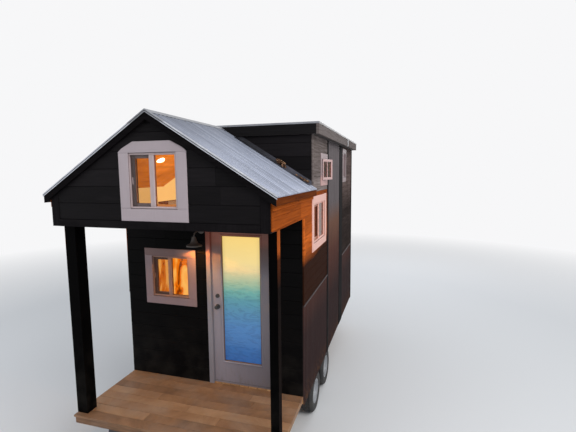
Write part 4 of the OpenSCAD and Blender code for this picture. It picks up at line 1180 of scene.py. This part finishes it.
def pane_frame(vinyl, wall, rect):
    """A slider: outer frame behind a shadow gap, middle bar and slim beads round the fixed right pane, whose
    glass stands 8 to 14 mm behind the wall's face, and the set-back sash round the left one, 24 to 30 mm
    behind it. The frame is slim along the track on the left, and the sash's stile is the wider there."""
    s0, s1, z0, z1 = rect
    low, high = z0 + LIP, z1 - LIP
    left, right = (s0 + s1 - BAR) / 2 - BAR_OFF, (s0 + s1 + BAR) / 2 - BAR_OFF
    outer = [(0, -0.004), (0.004, -0.004), (0.005, 0.008), (0.007, 0.010), (0.012, 0.010), (0.014, 0.006),
             (LIP, 0.003), (LIP, -0.058), (0, -0.060)]
    ring_frame(vinyl, wall, rect, outer, left=TRACK / LIP)
    bead = [(0, 0.002), (0.002, 0.002), (0.005, -0.004), (0.005, -0.0079), (0, -0.0079)]
    ring_frame(vinyl, wall, (right, s1 - LIP, low, high), bead)
    wall_board(vinyl, wall, (left, right), (low, high), (-0.0139, 0.005), 0.003)
    wall_board(vinyl, wall, (right - 0.018, right - 0.015), (low, high), (0.0045, 0.0065), 0.0008)
    sash = [(0, -0.0142), (RAIL - 0.004, -0.0142), (RAIL, -0.0175), (RAIL, -0.0239), (RAIL + 0.0002, -0.0301),
            (RAIL, -0.039), (0, -0.040)]
    ring_frame(vinyl, wall, (s0 + TRACK, right, low, high), sash, left=(RAIL + LIP - TRACK) / RAIL)
    middle = (z0 + z1) / 2
    wall_board(vinyl, wall, (s0 + TRACK + 0.012, s0 + TRACK + 0.021), (middle - 0.035, middle + 0.035),
               (-0.0145, -0.009), 0.002)


def casing(white, wall, rect, gap, clip=None):
    """Boards round an opening: sides, foot and head, with the head's corners cut off where clip is given."""
    s0, s1, z0, z1 = rect
    a0, a1, b0, b1 = gap
    seam, t = 0.0007, 0.02
    wall_board(white, wall, (s0, s1), (z0, b0), (0, t), 0.003)
    for a, b in ((s0, a0), (a1, s1)):
        wall_board(white, wall, (a, b), (b0 + seam, b1 - seam), (0, t), 0.003)
    head = [(s0, b1), (s1, b1), (s1, z1), (s0, z1)]
    if clip:
        across, down = clip
        near, part = across * 0.24, z1 - down * 0.66
        head[2:] = [(s1, z1 - down), (s1 - near, part), (s1 - across, z1),
                    (s0 + across, z1), (s0 + near, part), (s0, z1 - down)]
    plate(white, head, wall, 0, t)
    heights = np.linspace((z0 + b0) / 2, b1 * 0.7 + z1 * 0.3, 5)
    nails = [wall(s, z, t - 0.0002) for s in (s0 * 0.7 + a0 * 0.3, s1 * 0.7 + a1 * 0.3) for z in heights]
    domes(white, nails, wall(0.0, 0.0, 1.0) - wall(0.0, 0.0, 0.0), 0.0022, 0.0009, 0.1)


class TINYHOUSE_OT_windows(Dressing, bpy.types.Operator):
    """Window boards, vinyl frames, sashes and mesh screens"""

    bl_idname = "tinyhouse.windows"
    bl_label = "Windows"

    def make(self, size):
        white, vinyl, sides, rears, screens = (Shape(seed) for seed in (21, 22, 23, 24, 25))
        gable, porch = front_wall(0), front_wall(PORCH)
        casing(white, gable, UPPER_RECT, UPPER_HOLE, (0.17, 0.098))
        casing(white, porch, LOWER_RECT, LOWER_HOLE)
        for wall, rect in ((gable, UPPER_HOLE), (porch, LOWER_HOLE)):
            pane_frame(vinyl, wall, rect)
            s0, s1, z0, z1 = rect
            wall_board(screens, wall, (s0 + TRACK, (s0 + s1 - BAR) / 2 - BAR_OFF), (z0 + LIP, z1 - LIP),
                       (-0.0125, -0.0118), 0.0002)
        for flip in (1, -1):
            wall = side_wall(flip, HALF)
            for rect, trim in ((SIDE_RECT, TRIM), (HIGH_REAR_RECT, HIGH_TRIM)):
                casing(sides, wall, rect, hole(rect, trim))
                pane_frame(sides, wall, hole(rect, trim))
            casing(sides, wall, HIGH_FRONT_RECT, hole(HIGH_FRONT_RECT, HIGH_TRIM))
            self.swung_sash(sides, wall, hole(HIGH_FRONT_RECT, HIGH_TRIM), 14 if flip > 0 else 0)
        back = rear_wall(REAR)
        for rect, gap in ((REAR_HIGH_RECT, hole(REAR_HIGH_RECT, TRIM)), (REAR_LOW_RECT, REAR_HOLE)):
            casing(rears, back, rect, gap)
            pane_frame(rears, back, gap)
        white.build("front_window_boards", "white_trim", replaces=["front_window_trims"])
        vinyl.build("front_window_sashes", "vinyl", replaces=["front_window_frames"])
        sides.build("side_window_parts", "white_trim", replaces=["side_windows"])
        rears.build("rear_window_parts", "white_trim", replaces=["rear_windows"])
        screens.build("window_screens", "screen_mesh")

    def swung_sash(self, shape, wall, rect, degrees):
        """Frame and sash: the sash turns about its front edge; its profile stays square to its own plane."""
        s0, s1, z0, z1 = rect
        ring_frame(shape, wall, rect, [(0, 0.0), (0.022, 0.0), (0.022, -0.07), (0, -0.07)])
        play, t = 0.004, 0.03
        sine, cosine = math.sin(math.radians(degrees)), math.cos(math.radians(degrees))

        def swung(s, z, d):
            s, d = np.asarray(s) - s0 - play, np.asarray(d)
            return wall(s0 + play + t * sine + s * cosine - d * sine, z, s * sine + d * cosine + 0.0003)

        profile = [(0, 0.002), (0, t - 0.003), (0.004, t), (0.027, t), (0.034, t - 0.007), (0.034, 0.0),
                   (0.002, 0.0)]
        ring_frame(shape, swung, (s0 + play, s1 - play, z0 + play, z1 - play), profile)
        middle = (s0 + s1) / 2
        wall_board(shape, swung, (middle - 0.006, middle + 0.006), (z0 + 0.03, z1 - 0.03), (0.006, 0.024),
                   0.001)


class TINYHOUSE_OT_roof(Dressing, bpy.types.Operator):
    """Screws, laps, ridge cap and folded edge strips of the metal roof, and the fascia's cover strips"""

    bl_idname = "tinyhouse.roof"
    bl_label = "Roof metalwork"

    def make(self, size):
        self.ridge()
        self.edges()
        self.screws(size)
        strips = Shape(34)
        for side in (1, -1):
            wall_board(strips, side_wall(side, FASCIA_X), (4.14, 4.25), (FLAT + 0.0005, RIDGE - 0.004),
                       (0.0003, 0.0036), 0.0008)
        strips.build("fascia_cover_strips", "black_hardware")
        self.flashing()

    def ridge(self):
        """The cap's section runs down both slopes, with a rolled crown and a small hem at each lower edge."""
        cap = Shape(31)
        low, high = span("ridge_cap")
        y0, y1, wing = low[1], high[1], float(high[0]) * 0.5
        out = np.array([wing, wing - 0.006, wing - 0.012, 0.016, 0.007])
        rise = np.array([0.0006, 0.0032, 0.0028, 0.0028, 0.0030])
        x = np.concatenate([-out, [0.0], out[::-1]])
        up = np.concatenate([rise, [0.0031], rise[::-1]])
        x, z = np.concatenate([x, x[::-1]]), np.concatenate([roof(x) + up, roof(x[::-1]) + 0.0003])
        seams = [y0, y0 + (y1 - y0) * 0.52, y1]
        for a, b, lift in zip(seams[:-1], seams[1:], (0.0, 0.0002)):
            cap.loft([xyz(x, y, z + lift) for y in (a, b)])
        cap.build("ridge_cap_folded", "edge_metal", replaces=["ridge_cap"])

    def edges(self):
        """The gable strip's section has a groove between two lips, and runs down each slope; the drip edge's
        section is carried round the flat roof."""
        strip = Shape(32)
        front, back = RAKE_FRONT, RAKE_FRONT + 0.022
        section = [(front, 0.0033), (front, -0.0075), (front + 0.0035, -0.0095), (front + 0.0035, -0.0160),
                   (front, -0.0180), (front, -0.0267), (front + 0.004, -0.0267), (front + 0.004, 0.0003),
                   (back, 0.0003), (back, 0.0033)]
        for side in (1, -1):
            for ends in ((0.0, 0.76), (0.7602, EAVE_X)):
                down_slope(strip, section, side, ends)
        (x0, y0, _), (x1, y1, top) = span("roof_edge_trim", y=(1, 9))
        inset, z = np.array([(0, -0.024), (0, -0.0015), (0.0015, 0.0), (0.064, 0.0), (0.064, -0.004),
                             (0.0042, -0.004), (0.0042, -0.0205), (0.0058, -0.024)]).T
        x0, y0, x1, y1 = x0 + inset, y0 + inset, x1 - inset, y1 - inset
        strip.loft([xyz(x, y, top + z) for x, y in ((x0, y0), (x1, y0), (x1, y1), (x0, y1))], wrap=True)
        strip.build("folded_edge_strips", "edge_metal", replaces=["roof_edge_trim"])

    def flashing(self):
        """The flashing's angle section, one leg on the sheets and one up the raised front, runs down each
        slope; inside, a board of constant section carries the loft's ceiling on past the raised front."""
        angle, ceiling = Shape(35), Shape(36)
        wall, leg = DORMER - 0.0135, DORMER - 0.13
        section = [(leg, 0.0004), (leg, 0.0024), (wall - 0.0035, 0.0026), (wall - 0.0015, 0.05), (wall, 0.05),
                   (wall, 0.0004)]
        board = [(RAISED, -UNDER), (CEILING_END, -UNDER), (CEILING_END, 0.09 - UNDER), (RAISED, 0.09 - UNDER)]
        for side in (1, -1):
            down_slope(angle, section, side, (0.22, HALF + 0.002))
            down_slope(ceiling, board, side, (0.0, INNER - 0.001))
        # the flashing's dark colour is painted shade along the foot of the raised front, set in the
        # edge_metal finish
        angle.build("roof_flashing", "edge_metal")
        ceiling.build("loft_ceiling_edge", "rafter_wood")

    def screws(self, size):
        """Rows of screws stand on every second rib and on the ridge cap, square to each slope."""
        heads = Shape(33)
        run = DORMER + OVERHANG
        count = int(run / RIB_PITCH)
        ribs = -OVERHANG + (np.arange(count) + 0.5) * run / count
        x, y = np.meshgrid(np.array([0.13, 0.36, 0.62, 0.88, 1.12, 1.26]), ribs[::2])
        keep = (roof(x) < FLAT - 0.01) | (y < DORMER - 0.09)
        angle, cap_x, cap_y = math.atan(SLOPE), 0.085, np.arange(0.05, 1.5, 0.24)
        for x, y, z in ((x[keep], y[keep], roof(x[keep])), (cap_x, cap_y, roof(cap_x) + 0.003)):
            for side in (1, -1):
                square = side * math.sin(angle), 0, math.cos(angle)
                domes(heads, xyz(side * x, y, z), square, size.screw_head, 0.0045)
        heads.build("roof_screws", "edge_metal")


class TINYHOUSE_OT_leaves(Dressing, bpy.types.Operator):
    """Dry leaves in the corner between the roof sheets and the raised front"""

    bl_idname = "tinyhouse.leaves"
    bl_label = "Dry leaves"

    def make(self, size):
        """A leaf is a grid: its width swells and shrinks along its length, and it curls up across it. It lies
        in a heap on the slope or thinly spread, spun, tilted and leaning with the roof."""
        count = size.leaf_count
        if not count:
            return
        rng = np.random.default_rng(7)
        u, v = np.meshgrid(np.linspace(0, 1, 5), np.linspace(-1, 1, 3), indexing="ij")
        width = np.sin(np.pi * np.clip(u, 0.04, 0.97)) ** 0.8 * 0.36
        curl = 0.22 * (v ** 2) * width / 0.36 + 0.25 * (u - 0.5) ** 2
        top = xyz(u - 0.5, v * width, curl).reshape(-1, 3)
        base = np.concatenate([top, top - [0, 0, 0.02]])
        corner = (np.arange(4)[:, None] * 3 + np.arange(2)).ravel()[:, None]
        upper = corner + [0, 3, 4, 1]
        rim = np.array([0, 3, 6, 9, 12, 13, 14, 11, 8, 5, 2, 1])
        walls = np.stack([rim, np.roll(rim, -1), np.roll(rim, -1) + 15, rim + 15], axis=1)
        heap = rng.random(count) < 0.62
        x = np.where(heap, 0.83, 1.14) + rng.normal(0, 1, count) * np.where(heap, 0.035, 0.05)
        x = np.clip(x, 0.3, HALF - 0.03)
        y = DORMER - 0.035 - np.abs(rng.normal(0, 0.03, count))
        z = roof(x) + 0.008 + rng.random(count) * np.where(heap, 0.055, 0.015)
        side = np.where(rng.random(count) < 0.8, 1, -1)
        scale = rng.uniform(0.022, 0.046, count)
        spin, tilt = rng.uniform(0, 2 * np.pi, count), rng.normal(0, 0.35, count)
        lean = side * math.atan(SLOPE) + rng.normal(0, 0.3, count)
        turns = self.about(1, lean) @ self.about(0, tilt) @ self.about(2, spin) * scale[:, None, None]
        leaves = Shape(8)
        leaves.copies(base, [np.concatenate([upper, upper[:, ::-1] + 15, walls])], xyz(side * x, y, z), turns)
        leaves.build("dry_leaves", "dry_leaf", smooth=True)

    def about(self, axis, angles):
        """Rotation matrices (m, 3, 3) about a coordinate axis."""
        a, b = (axis + 1) % 3, (axis + 2) % 3
        turns = np.tile(np.eye(3), (len(angles), 1, 1))
        turns[:, a, a] = turns[:, b, b] = np.cos(angles)
        turns[:, b, a] = np.sin(angles)
        turns[:, a, b] = -np.sin(angles)
        return turns


class TINYHOUSE_OT_cladding(Dressing, bpy.types.Operator):
    """Screws of the metal sheets on the side walls"""

    bl_idname = "tinyhouse.cladding"
    bl_label = "Wall metal"

    def make(self, size):
        """Screws stand on every third rib, and small nails in the black boards and the edges beside them."""
        heads = Shape(41)
        edges = np.array([BOARD_0, BOARD_1, BLACK_0, BLACK_1, CORNER_0, REAR])
        seams = edges + [0.02, -0.02, 0.03, -0.03, 0.02, -0.02]
        sheet, boards = HALF + 0.014, HALF + 0.018
        for side in (1, -1):
            for y0, y1, z1 in ((PORCH, BOARD_0, CAP_LOW), (BOARD_1, BLACK_0, FLAT),
                               (BLACK_1, CORNER_0, CAP_LOW)):
                count = int((y1 - y0) / RIB_PITCH)
                ribs = y0 + (np.arange(count) + 0.5) * (y1 - y0) / count
                y, z = np.meshgrid(ribs[::3], np.append(np.arange(SKIRT + 0.05, z1, 0.58), z1 - 0.03))
                domes(heads, xyz(side * sheet, y, z), (side, 0, 0), size.screw_head, 0.004)
            y, z = np.meshgrid(seams, np.arange(SKIRT + 0.08, FLAT, 0.4), indexing="ij")
            domes(heads, xyz(side * boards, y, z), (side, 0, 0), 0.0025, 0.001)
        heads.build("cladding_screws", "cap_metal")


class TINYHOUSE_OT_porch(Dressing, bpy.types.Operator):
    """Porch deck boards on their joists and their screws, and the door's beads, putty and threshold"""

    bl_idname = "tinyhouse.porch"
    bl_label = "Porch and door"

    def make(self, size):
        deck, heads = Shape(51), Shape(52)
        (x0, y0, z0), (x1, y1, z1) = span("porch_deck")
        gap, inset, joist, below = 0.005, 0.012, 0.036, z1 - 0.0245
        count = round((y1 - y0) / (size.deck_board + gap))
        pitch = (y1 - y0) / count
        for row in range(count):
            a = y0 + row * pitch + (gap / 2 if row else 0)
            b = y0 + (row + 1) * pitch - (gap / 2 if row < count - 1 else 0)
            split = deck.random.uniform(-0.7, 0.7)
            for s in ((x0, split - 0.001), (split + 0.001, x1)):
                deck.block((s[0], a, z1 - 0.024), (s[1], b, z1), 0.003)
        deck.block((x0 + inset, y0 + inset, z0), (x1 - inset, y0 + inset + joist, below), 0.002)
        for x in np.linspace(x0 + inset, x1 - inset - joist, 6):
            deck.block((x, y0 + 0.0485, z0 + 0.002), (x + joist, y1, below), 0.002)
        deck.build("deck_boards", "deck_wood", replaces=["porch_deck"])
        rows = y0 + (np.arange(count) + 0.5) * pitch
        x, y = np.meshgrid(np.linspace(x0 + 0.03, x1 - 0.03, 6), np.concatenate([rows - 0.035, rows + 0.035]))
        domes(heads, xyz(x, y, z1 - 0.0004), (0, 0, 1), 0.0028, 0.0008)
        heads.build("deck_screws", "black_hardware")
        self.door()

    def door(self):
        """Beads and putty go round the glass on both faces of the leaf; the threshold is two metal strips."""
        glass = flat_rect(DOOR_GLASS)
        leaf_t = 0.044
        bead = [(-0.022, 0.0003), (-0.020, 0.005), (-0.009, 0.008), (0.0, 0.004),
                (0.003, -0.004), (0.003, -0.018), (0.0, -0.018)]
        gasket = [(0.0005, -0.0035), (0.007, -0.008), (0.007, -0.0185), (0.0005, -0.0185)]
        beads, gaskets, sill = Shape(53), Shape(56), Shape(54)
        for wall in (front_wall(PORCH), lambda s, z, d: rear_wall(PORCH + leaf_t)(-np.asarray(s), z, d)):
            ring_frame(beads, wall, glass, bead)
            ring_frame(gaskets, wall, np.array(glass) + [0.003, -0.003, 0.003, -0.003], gasket)
        beads.build("door_beads", "door_paint", "front_door")
        gaskets.build("door_glass_gaskets", "gasket", "front_door")
        x0, x1 = DOOR_FRAME[0][0] + 0.033, DOOR_FRAME[1][0] - 0.033
        for a, b in ((PORCH + 0.003, PORCH + 0.04), (PORCH + 0.0415, PORCH_BACK - 0.003)):
            sill.block((x0, a, FLOOR + 0.02), (x1, b, FLOOR + 0.0228), 0.0008)
        sill.build("door_threshold", "cap_metal")


class TINYHOUSE_OT_lamps(Dressing, bpy.types.Operator):
    """Arm, shade, bulb and socket of the porch lamp, and the round ceiling light of the loft"""

    bl_idname = "tinyhouse.lamps"
    bl_label = "Lamps"

    def make(self, size):
        self.porch_lamp()
        bulb, socket, light, ring = (Shape(seed) for seed in (61, 62, 63, 64))
        top, glass = SHADE_TOP - 0.004, 0.028
        shade = (SHADE_X, SHADE_Y, 0)
        turn = np.linspace(0, np.pi * 0.86, 10)[1:]
        globe = [(0.0, top - 0.088), *zip(glass * np.sin(turn), top - 0.06 - glass * np.cos(turn)),
                 (0.012, top - 0.024), (0.0, top - 0.024)]
        bulb.lathe(globe, shade, sides=20)
        socket.lathe([(0, top), (0.019, top), (0.019, top - 0.02), (0.0165, top - 0.026), (0.0, top - 0.026)],
                     shade, sides=20)
        bulb.build("porch_bulb", "bulb", smooth=True)
        socket.build("bulb_socket", "hinge_steel", smooth=True)
        turn = np.linspace(-np.pi / 2, np.pi / 2, 11)[1:-1]
        globe = [(0.0, -0.042), *zip(0.064 * np.cos(turn), 0.042 * np.sin(turn)), (0.0, 0.042)]
        light.lathe(globe, LOFT_LIGHT, sides=28)
        ring.lathe([(0, 0.038), (0.03, 0.038), (0.03, 0.06), (0, 0.06)], LOFT_LIGHT, sides=28)
        light.build("loft_light", "bulb", smooth=True)
        ring.build("loft_light_ring", "vinyl", smooth=True)

    def porch_lamp(self):
        """The arm is a round bar along a line that turns down through a quarter circle; the shade's outline,
        a neck that swells and flares to a brim with a straight lip, is turned once round its axis."""
        lamp = Shape(65)
        shade = (SHADE_X, SHADE_Y, 0)
        arm_z = float(SHADE[1][2]) - 0.048
        bend = 0.055
        path = [(SHADE_X, PORCH - 0.01, arm_z), (SHADE_X, (PORCH + SHADE_Y + bend) / 2, arm_z),
                *[(SHADE_X, SHADE_Y + bend - bend * math.sin(t), arm_z - bend + bend * math.cos(t))
                  for t in np.linspace(0, np.pi / 2, 9)], (SHADE_X, SHADE_Y, SHADE_TOP + 0.02)]
        lamp.tube(path, 0.009, 12, 1.2)
        lamp.lathe([(0, 0.0003), (0.048, 0.0003), (0.048, 0.01), (0.042, 0.016), (0, 0.016)],
                   (SHADE_X, PORCH, arm_z), (0, -1, 0), 28, 1.2)
        z = SHADE_TOP - np.array([0.0, 0.014, 0.03, 0.044, 0.055, 0.064, 0.071, 0.0775])
        reach = np.array([0.027, 0.033, 0.039, 0.047, 0.06, 0.078, 0.094, SHADE_R])
        outer = [(0, SHADE_TOP + 0.03), (0.022, SHADE_TOP + 0.03), (0.026, SHADE_TOP + 0.024), *zip(reach, z),
                 (SHADE_R, SHADE_LOW)]
        inner = [(SHADE_R - 0.0025, SHADE_LOW), *zip(reach[::-1] - 0.0028, z[::-1] - 0.0012),
                 (0, SHADE_TOP - 0.0012)]
        lamp.lathe([*outer, *inner], shade, sides=36, board=1.2)
        lining = [*zip(reach[1:] - 0.0031, z[1:] - 0.0016), *zip(reach[:0:-1] - 0.0039, z[:0:-1] - 0.0022)]
        lamp.lathe(lining, shade, sides=36, board=2.0)
        lamp.build("porch_lamp_parts", "black_hardware", replaces=["porch_lamp"], smooth=True)


class TINYHOUSE_OT_trailer(Dressing, bpy.types.Operator):
    """Tyre tread, wheel nuts, spring leaves and clamps, and the coupler's latch"""

    bl_idname = "tinyhouse.trailer"
    bl_label = "Trailer parts"

    def make(self, size):
        low, high = span("tyres")
        radius = (high[2] - low[2]) / 2
        inner = float(span("tyres", x=(0, 2))[0][0])
        width = high[0] - inner
        tyres, nuts, steel = Shape(71), Shape(72), Shape(73)
        middles = [float(span("tyres", y=part)[0][1] + radius) for part in ((0, 2.5), (2.5, 5))]
        for side in (1, -1):
            for y in middles:
                self.tyre(tyres, side, inner, width, y, radius)
                self.nuts(nuts, side, inner + width * 0.62, y, radius)
                self.spring(steel, side, y, radius)
        tyres.build("treaded_tyres", "tyre", replaces=["tyres"], smooth=True)
        nuts.build("wheel_nuts", "rim")
        self.coupler(steel)
        steel.build("spring_and_coupler_parts", "frame_steel")

    def tyre(self, shape, side, inner, width, y, radius):
        """The section runs from bead to bead over the shoulders; the tread's radius drops in three grooves
        round the tyre and in slanted slots, which are a square wave of the angle."""
        turn = np.linspace(0, 2 * np.pi, 240, endpoint=False)
        rim, tread_and_groove = 0.17, [0, 0, 0.007, 0.007]
        drop = radius - np.array([0.018, 0.006, *tread_and_groove * 3, 0, 0, 0.006, 0.018])
        bead = rim + np.array([0, 0.02, 0.06, 0.092])
        out = np.concatenate([bead, drop, bead[::-1]])
        across = np.array([0.012, 0.006, 0.0, 0.004, 0.014, 0.026, 0.034, 0.048, 0.05, 0.056, 0.058, 0.084,
                           0.086, 0.094, 0.096, 0.122, 0.124, 0.13, 0.132, 0.146, 0.154, 0.166, 0.176, 0.18,
                           0.174, 0.168]) * (width / 0.18)
        wave = np.sin(turn[:, None] * 40 + across * 60)
        r = out - ((out > radius - 0.012) & (wave > 0.72)) * 0.005
        cosine, sine = np.cos(turn)[:, None], np.sin(turn)[:, None]
        shape.loft(xyz(side * (inner + across), y + r * cosine, radius + r * sine), wrap=True)

    def nuts(self, shape, side, face, y, z):
        """Six nuts on a circle round each hub, and a valve."""
        for k in range(6):
            a = k * math.pi / 3 + 0.3
            centre = (side * (face + 0.001), y + 0.069 * math.cos(a), z + 0.069 * math.sin(a))
            nut = [(0, 0), (0.0115, 0), (0.0115, 0.012), (0.008, 0.017), (0, 0.017)]
            shape.lathe(nut, centre, (side, 0, 0), 6)
        shape.tube([(side * face, y + 0.128, z), (side * (face + 0.028), y + 0.122, z)], 0.004, 8)

    def spring(self, shape, side, y, z):
        """Shorter leaves lie below the main one, and two clamps hold them to the axle."""
        rail = float(span("trailer_rails")[1][0]) - 0.03
        low, leaf = z + 0.0175, 0.0085
        for k, half in enumerate((0.2, 0.15, 0.1)):
            a, b = rail - 0.0315 - 0.0005 * k, rail + 0.0315
            shape.block((side * a, y - half, low + 0.034 + leaf * k),
                        (side * b, y + half, low + 0.034 + leaf * (k + 1) - 0.001), 0.001)
        for end in (-0.045, 0.045):
            for out in (-0.036, 0.036):
                bar = [(side * (rail + out), y + end, low + height) for height in (-0.06, 0.078)]
                shape.tube(bar, 0.0055, 8)
            shape.block((side * (rail - 0.043), y + end - 0.01, low + 0.0605),
                        (side * (rail + 0.043), y + end + 0.01, low + 0.068), 0.001)

    def coupler(self, shape):
        """Latch lever, safety chain eyes and the jack's crank on the tongue."""
        (_, _, z0), (_, y1, z1) = span("tongue")
        tip = y1 - 0.26
        lever = ((0.1, 0), (0.1, 0.045), (0.06, 0.06), (-0.06, 0.07))
        shape.tube([(0, tip + y, z1 + z) for y, z in lever], 0.008, 10)
        a = np.linspace(0, np.pi, 9)
        for side in (1, -1):
            eye = xyz(side * 0.047, tip + 0.03 + 0.022 * np.cos(a), z0 + 0.03 + 0.03 * np.sin(a))
            shape.tube(eye, 0.005, 8)
        (_, low_y, _), (_, high_y, top) = span("jacks", y=(5.5, 7))
        middle = (low_y + high_y) / 2
        cap = [(0, -0.012), (0.034, -0.012), (0.034, -0.002), (0.026, 0.0), (0, 0.0)]
        shape.lathe(cap, (0, middle, top), sides=20)
        crank = ((0.03, -0.03), (0.055, -0.03), (0.06, -0.05), (0.06, -0.15), (0.065, -0.16), (0.12, -0.16))
        shape.tube([(0, middle + y, top + z) for y, z in crank], 0.007, 10)


BACKDROP = (0.93, 0.93, 0.94, 1)
SEEN_RAYS = ("Is Camera Ray", "Is Glossy Ray", "Is Transmission Ray")  # these see the backdrop itself
PHOTO_ANGLES = (16.5, 6.434, -0.495)  # yaw, pitch and roll of the photograph, degrees
PHOTO_PLACE = (2.327, -3.204, 3.506)  # in the house frame
PHOTO_LENS = 24.106  # mm, for a sensor 36 mm wide


class TINYHOUSE_OT_stage(Dressing, bpy.types.Operator):
    """Pale floor, soft lights, white surroundings and the camera at the photograph's place"""

    bl_idname = "tinyhouse.stage"
    bl_label = "Stage"

    def make(self, size):
        self.floor()
        self.lights()
        self.camera()

    def floor(self):
        """Rings of growing radius; far out the plain surface gives way to the backdrop's white."""
        reach, sides = np.array([0.0, 4.0, 8.0, 14.0, 30.0, 90.0]), 48
        turn = np.linspace(0, 2 * np.pi, sides, endpoint=False)
        points = xyz(reach[:, None] * np.cos(turn), reach[:, None] * np.sin(turn), 0.0)
        mesh = bpy.data.meshes.new("studio_floor")
        mesh.from_pydata(points.reshape(-1, 3).tolist(), [], quads_between(len(reach), sides).tolist())
        g = Graph("studio_floor")
        distance = (g.x * g.x + g.split(g.place)[1] ** 2.0) ** 0.5
        speck = g.noise(g.place, 40.0, 3.0)
        tone = g.mix(speck * 0.5, (0.78, 0.78, 0.79), (0.74, 0.74, 0.75))
        near = g.raw("BsdfPrincipled", inputs={"Base Color": tone, "Roughness": 0.8})
        far = g.raw("Emission", inputs={"Color": BACKDROP, "Strength": 1.0})
        path = g.raw("LightPath").outputs
        seen = Wire(g, path[SEEN_RAYS[0]])
        for kind in SEEN_RAYS[1:]:
            seen = seen.math("MAXIMUM", Wire(g, path[kind]))
        blend = g.raw("MixShader", inputs=[distance.ramp(7.0, 16.0) * seen, *(
            Wire(g, shader.outputs[0]) for shader in (near, far))])
        g.raw("OutputMaterial", inputs=[Wire(g, blend.outputs[0])])
        mesh.materials.append(g.material)
        floor = add("studio_floor", mesh)

    def lights(self):
        """A soft sky that shows the backdrop's white itself, three large lights, and the porch lamp's own."""
        scene = bpy.context.scene
        world = bpy.data.worlds.new("studio_world")
        scene.world = world
        world.use_nodes = True
        nodes, link = world.node_tree.nodes, world.node_tree.links.new
        nodes.clear()
        mix, path = nodes.new("ShaderNodeMixShader"), nodes.new("ShaderNodeLightPath")
        shown = path.outputs[SEEN_RAYS[0]]
        for kind in SEEN_RAYS[1:]:
            either = nodes.new("ShaderNodeMath")
            either.operation = "MAXIMUM"
            link(shown, either.inputs[0])
            link(path.outputs[kind], either.inputs[1])
            shown = either.outputs[0]
        link(shown, mix.inputs[0])
        for slot, (sky, strength) in enumerate((((0.88, 0.94, 1.0, 1), 0.55), (BACKDROP, 1.0)), 1):
            node = nodes.new("ShaderNodeBackground")
            node.inputs["Color"].default_value, node.inputs["Strength"].default_value = sky, strength
            link(node.outputs[0], mix.inputs[slot])
        link(mix.outputs[0], nodes.new("ShaderNodeOutputWorld").inputs["Surface"])
        for name, spot, target, width, power, tone in (
                ("key_light", (7.5, -6.5, 8.5), (0, -0.5, 2), 6.0, 620, (1.0, 0.99, 0.97)),
                ("fill_light", (-8.0, -7.0, 5.0), (0, -0.5, 2), 7.0, 190, (0.93, 0.96, 1.0)),
                ("back_light", (2.0, 9.0, 7.0), (0, 0.5, 2), 6.0, 260, (0.95, 0.97, 1.0))):
            light = bpy.data.lights.new(name, "AREA")
            light.size, light.energy, light.color = width, power, tone
            lamp = add(name, light)
            lamp.location = spot
            lamp.rotation_euler = (Vector(target) - Vector(spot)).to_track_quat("-Z", "Y").to_euler()
        warm = bpy.data.lights.new("porch_lamp_light", "SPOT")
        warm.energy, warm.color, warm.shadow_soft_size = 20.0, (1.0, 0.44, 0.085), 0.02
        warm.spot_size, warm.spot_blend = math.radians(140), 0.1
        add("porch_lamp_light", warm).location = (SHADE_X, SHADE_Y + FRONT, SHADE_LOW - 0.012)
        scene.view_settings.view_transform = "Standard"

    def camera(self):
        """Yaw, pitch and roll of the photograph turn into the camera's own right, up and backward ways."""
        yaw, pitch, roll = (math.radians(v) for v in PHOTO_ANGLES)
        level = math.cos(pitch)
        forward = Vector((-math.sin(yaw) * level, math.cos(yaw) * level, -math.sin(pitch)))
        right = Vector((math.cos(yaw), math.sin(yaw), 0))
        up = right.cross(forward)
        across = math.cos(roll) * right + math.sin(roll) * up
        rise = -math.sin(roll) * right + math.cos(roll) * up
        data = bpy.data.cameras.new("camera")
        data.sensor_width, data.lens = 36.0, PHOTO_LENS
        data.clip_start, data.clip_end = 0.05, 300
        camera = add("camera", data)
        matrix = Matrix((across, rise, -forward)).transposed().to_4x4()
        x, y, z = PHOTO_PLACE
        matrix.translation = Vector((x, y + FRONT, z))
        camera.matrix_world = matrix
        bpy.context.scene.camera = camera


OPERATORS = (
    TINYHOUSE_OT_solids, TINYHOUSE_OT_front_boards, TINYHOUSE_OT_side_boards, TINYHOUSE_OT_windows,
    TINYHOUSE_OT_roof, TINYHOUSE_OT_leaves, TINYHOUSE_OT_cladding, TINYHOUSE_OT_porch, TINYHOUSE_OT_lamps,
    TINYHOUSE_OT_trailer, TINYHOUSE_OT_stage,
)


class TINYHOUSE_PT_panel(bpy.types.Panel):
    """Sizes, colours and the steps that dress the house"""

    bl_idname = "TINYHOUSE_PT_panel"
    bl_label = "Tiny house"
    bl_space_type = "VIEW_3D"
    bl_region_type = "UI"
    bl_category = "Tiny house"

    def draw(self, context):
        for group in (context.scene.tiny_house_sizes, context.scene.tiny_house_colours):
            box = self.layout.box()
            for name in type(group).__annotations__:
                box.prop(group, name)
        for operator in OPERATORS:
            self.layout.operator(operator.bl_idname)


CLASSES = (HouseSizes, HouseColours, *OPERATORS, TINYHOUSE_PT_panel)


def register():
    for cls in CLASSES:
        bpy.utils.register_class(cls)
    bpy.types.Scene.tiny_house_sizes = PointerProperty(type=HouseSizes)
    bpy.types.Scene.tiny_house_colours = PointerProperty(type=HouseColours)


def unregister():
    del bpy.types.Scene.tiny_house_colours
    del bpy.types.Scene.tiny_house_sizes
    for cls in reversed(CLASSES):
        bpy.utils.unregister_class(cls)


def main():
    """Makes every piece in order."""
    register()
    for operator in OPERATORS:
        group, name = operator.bl_idname.split(".")
        getattr(getattr(bpy.ops, group), name)()


if __name__ == "__main__":
    main()
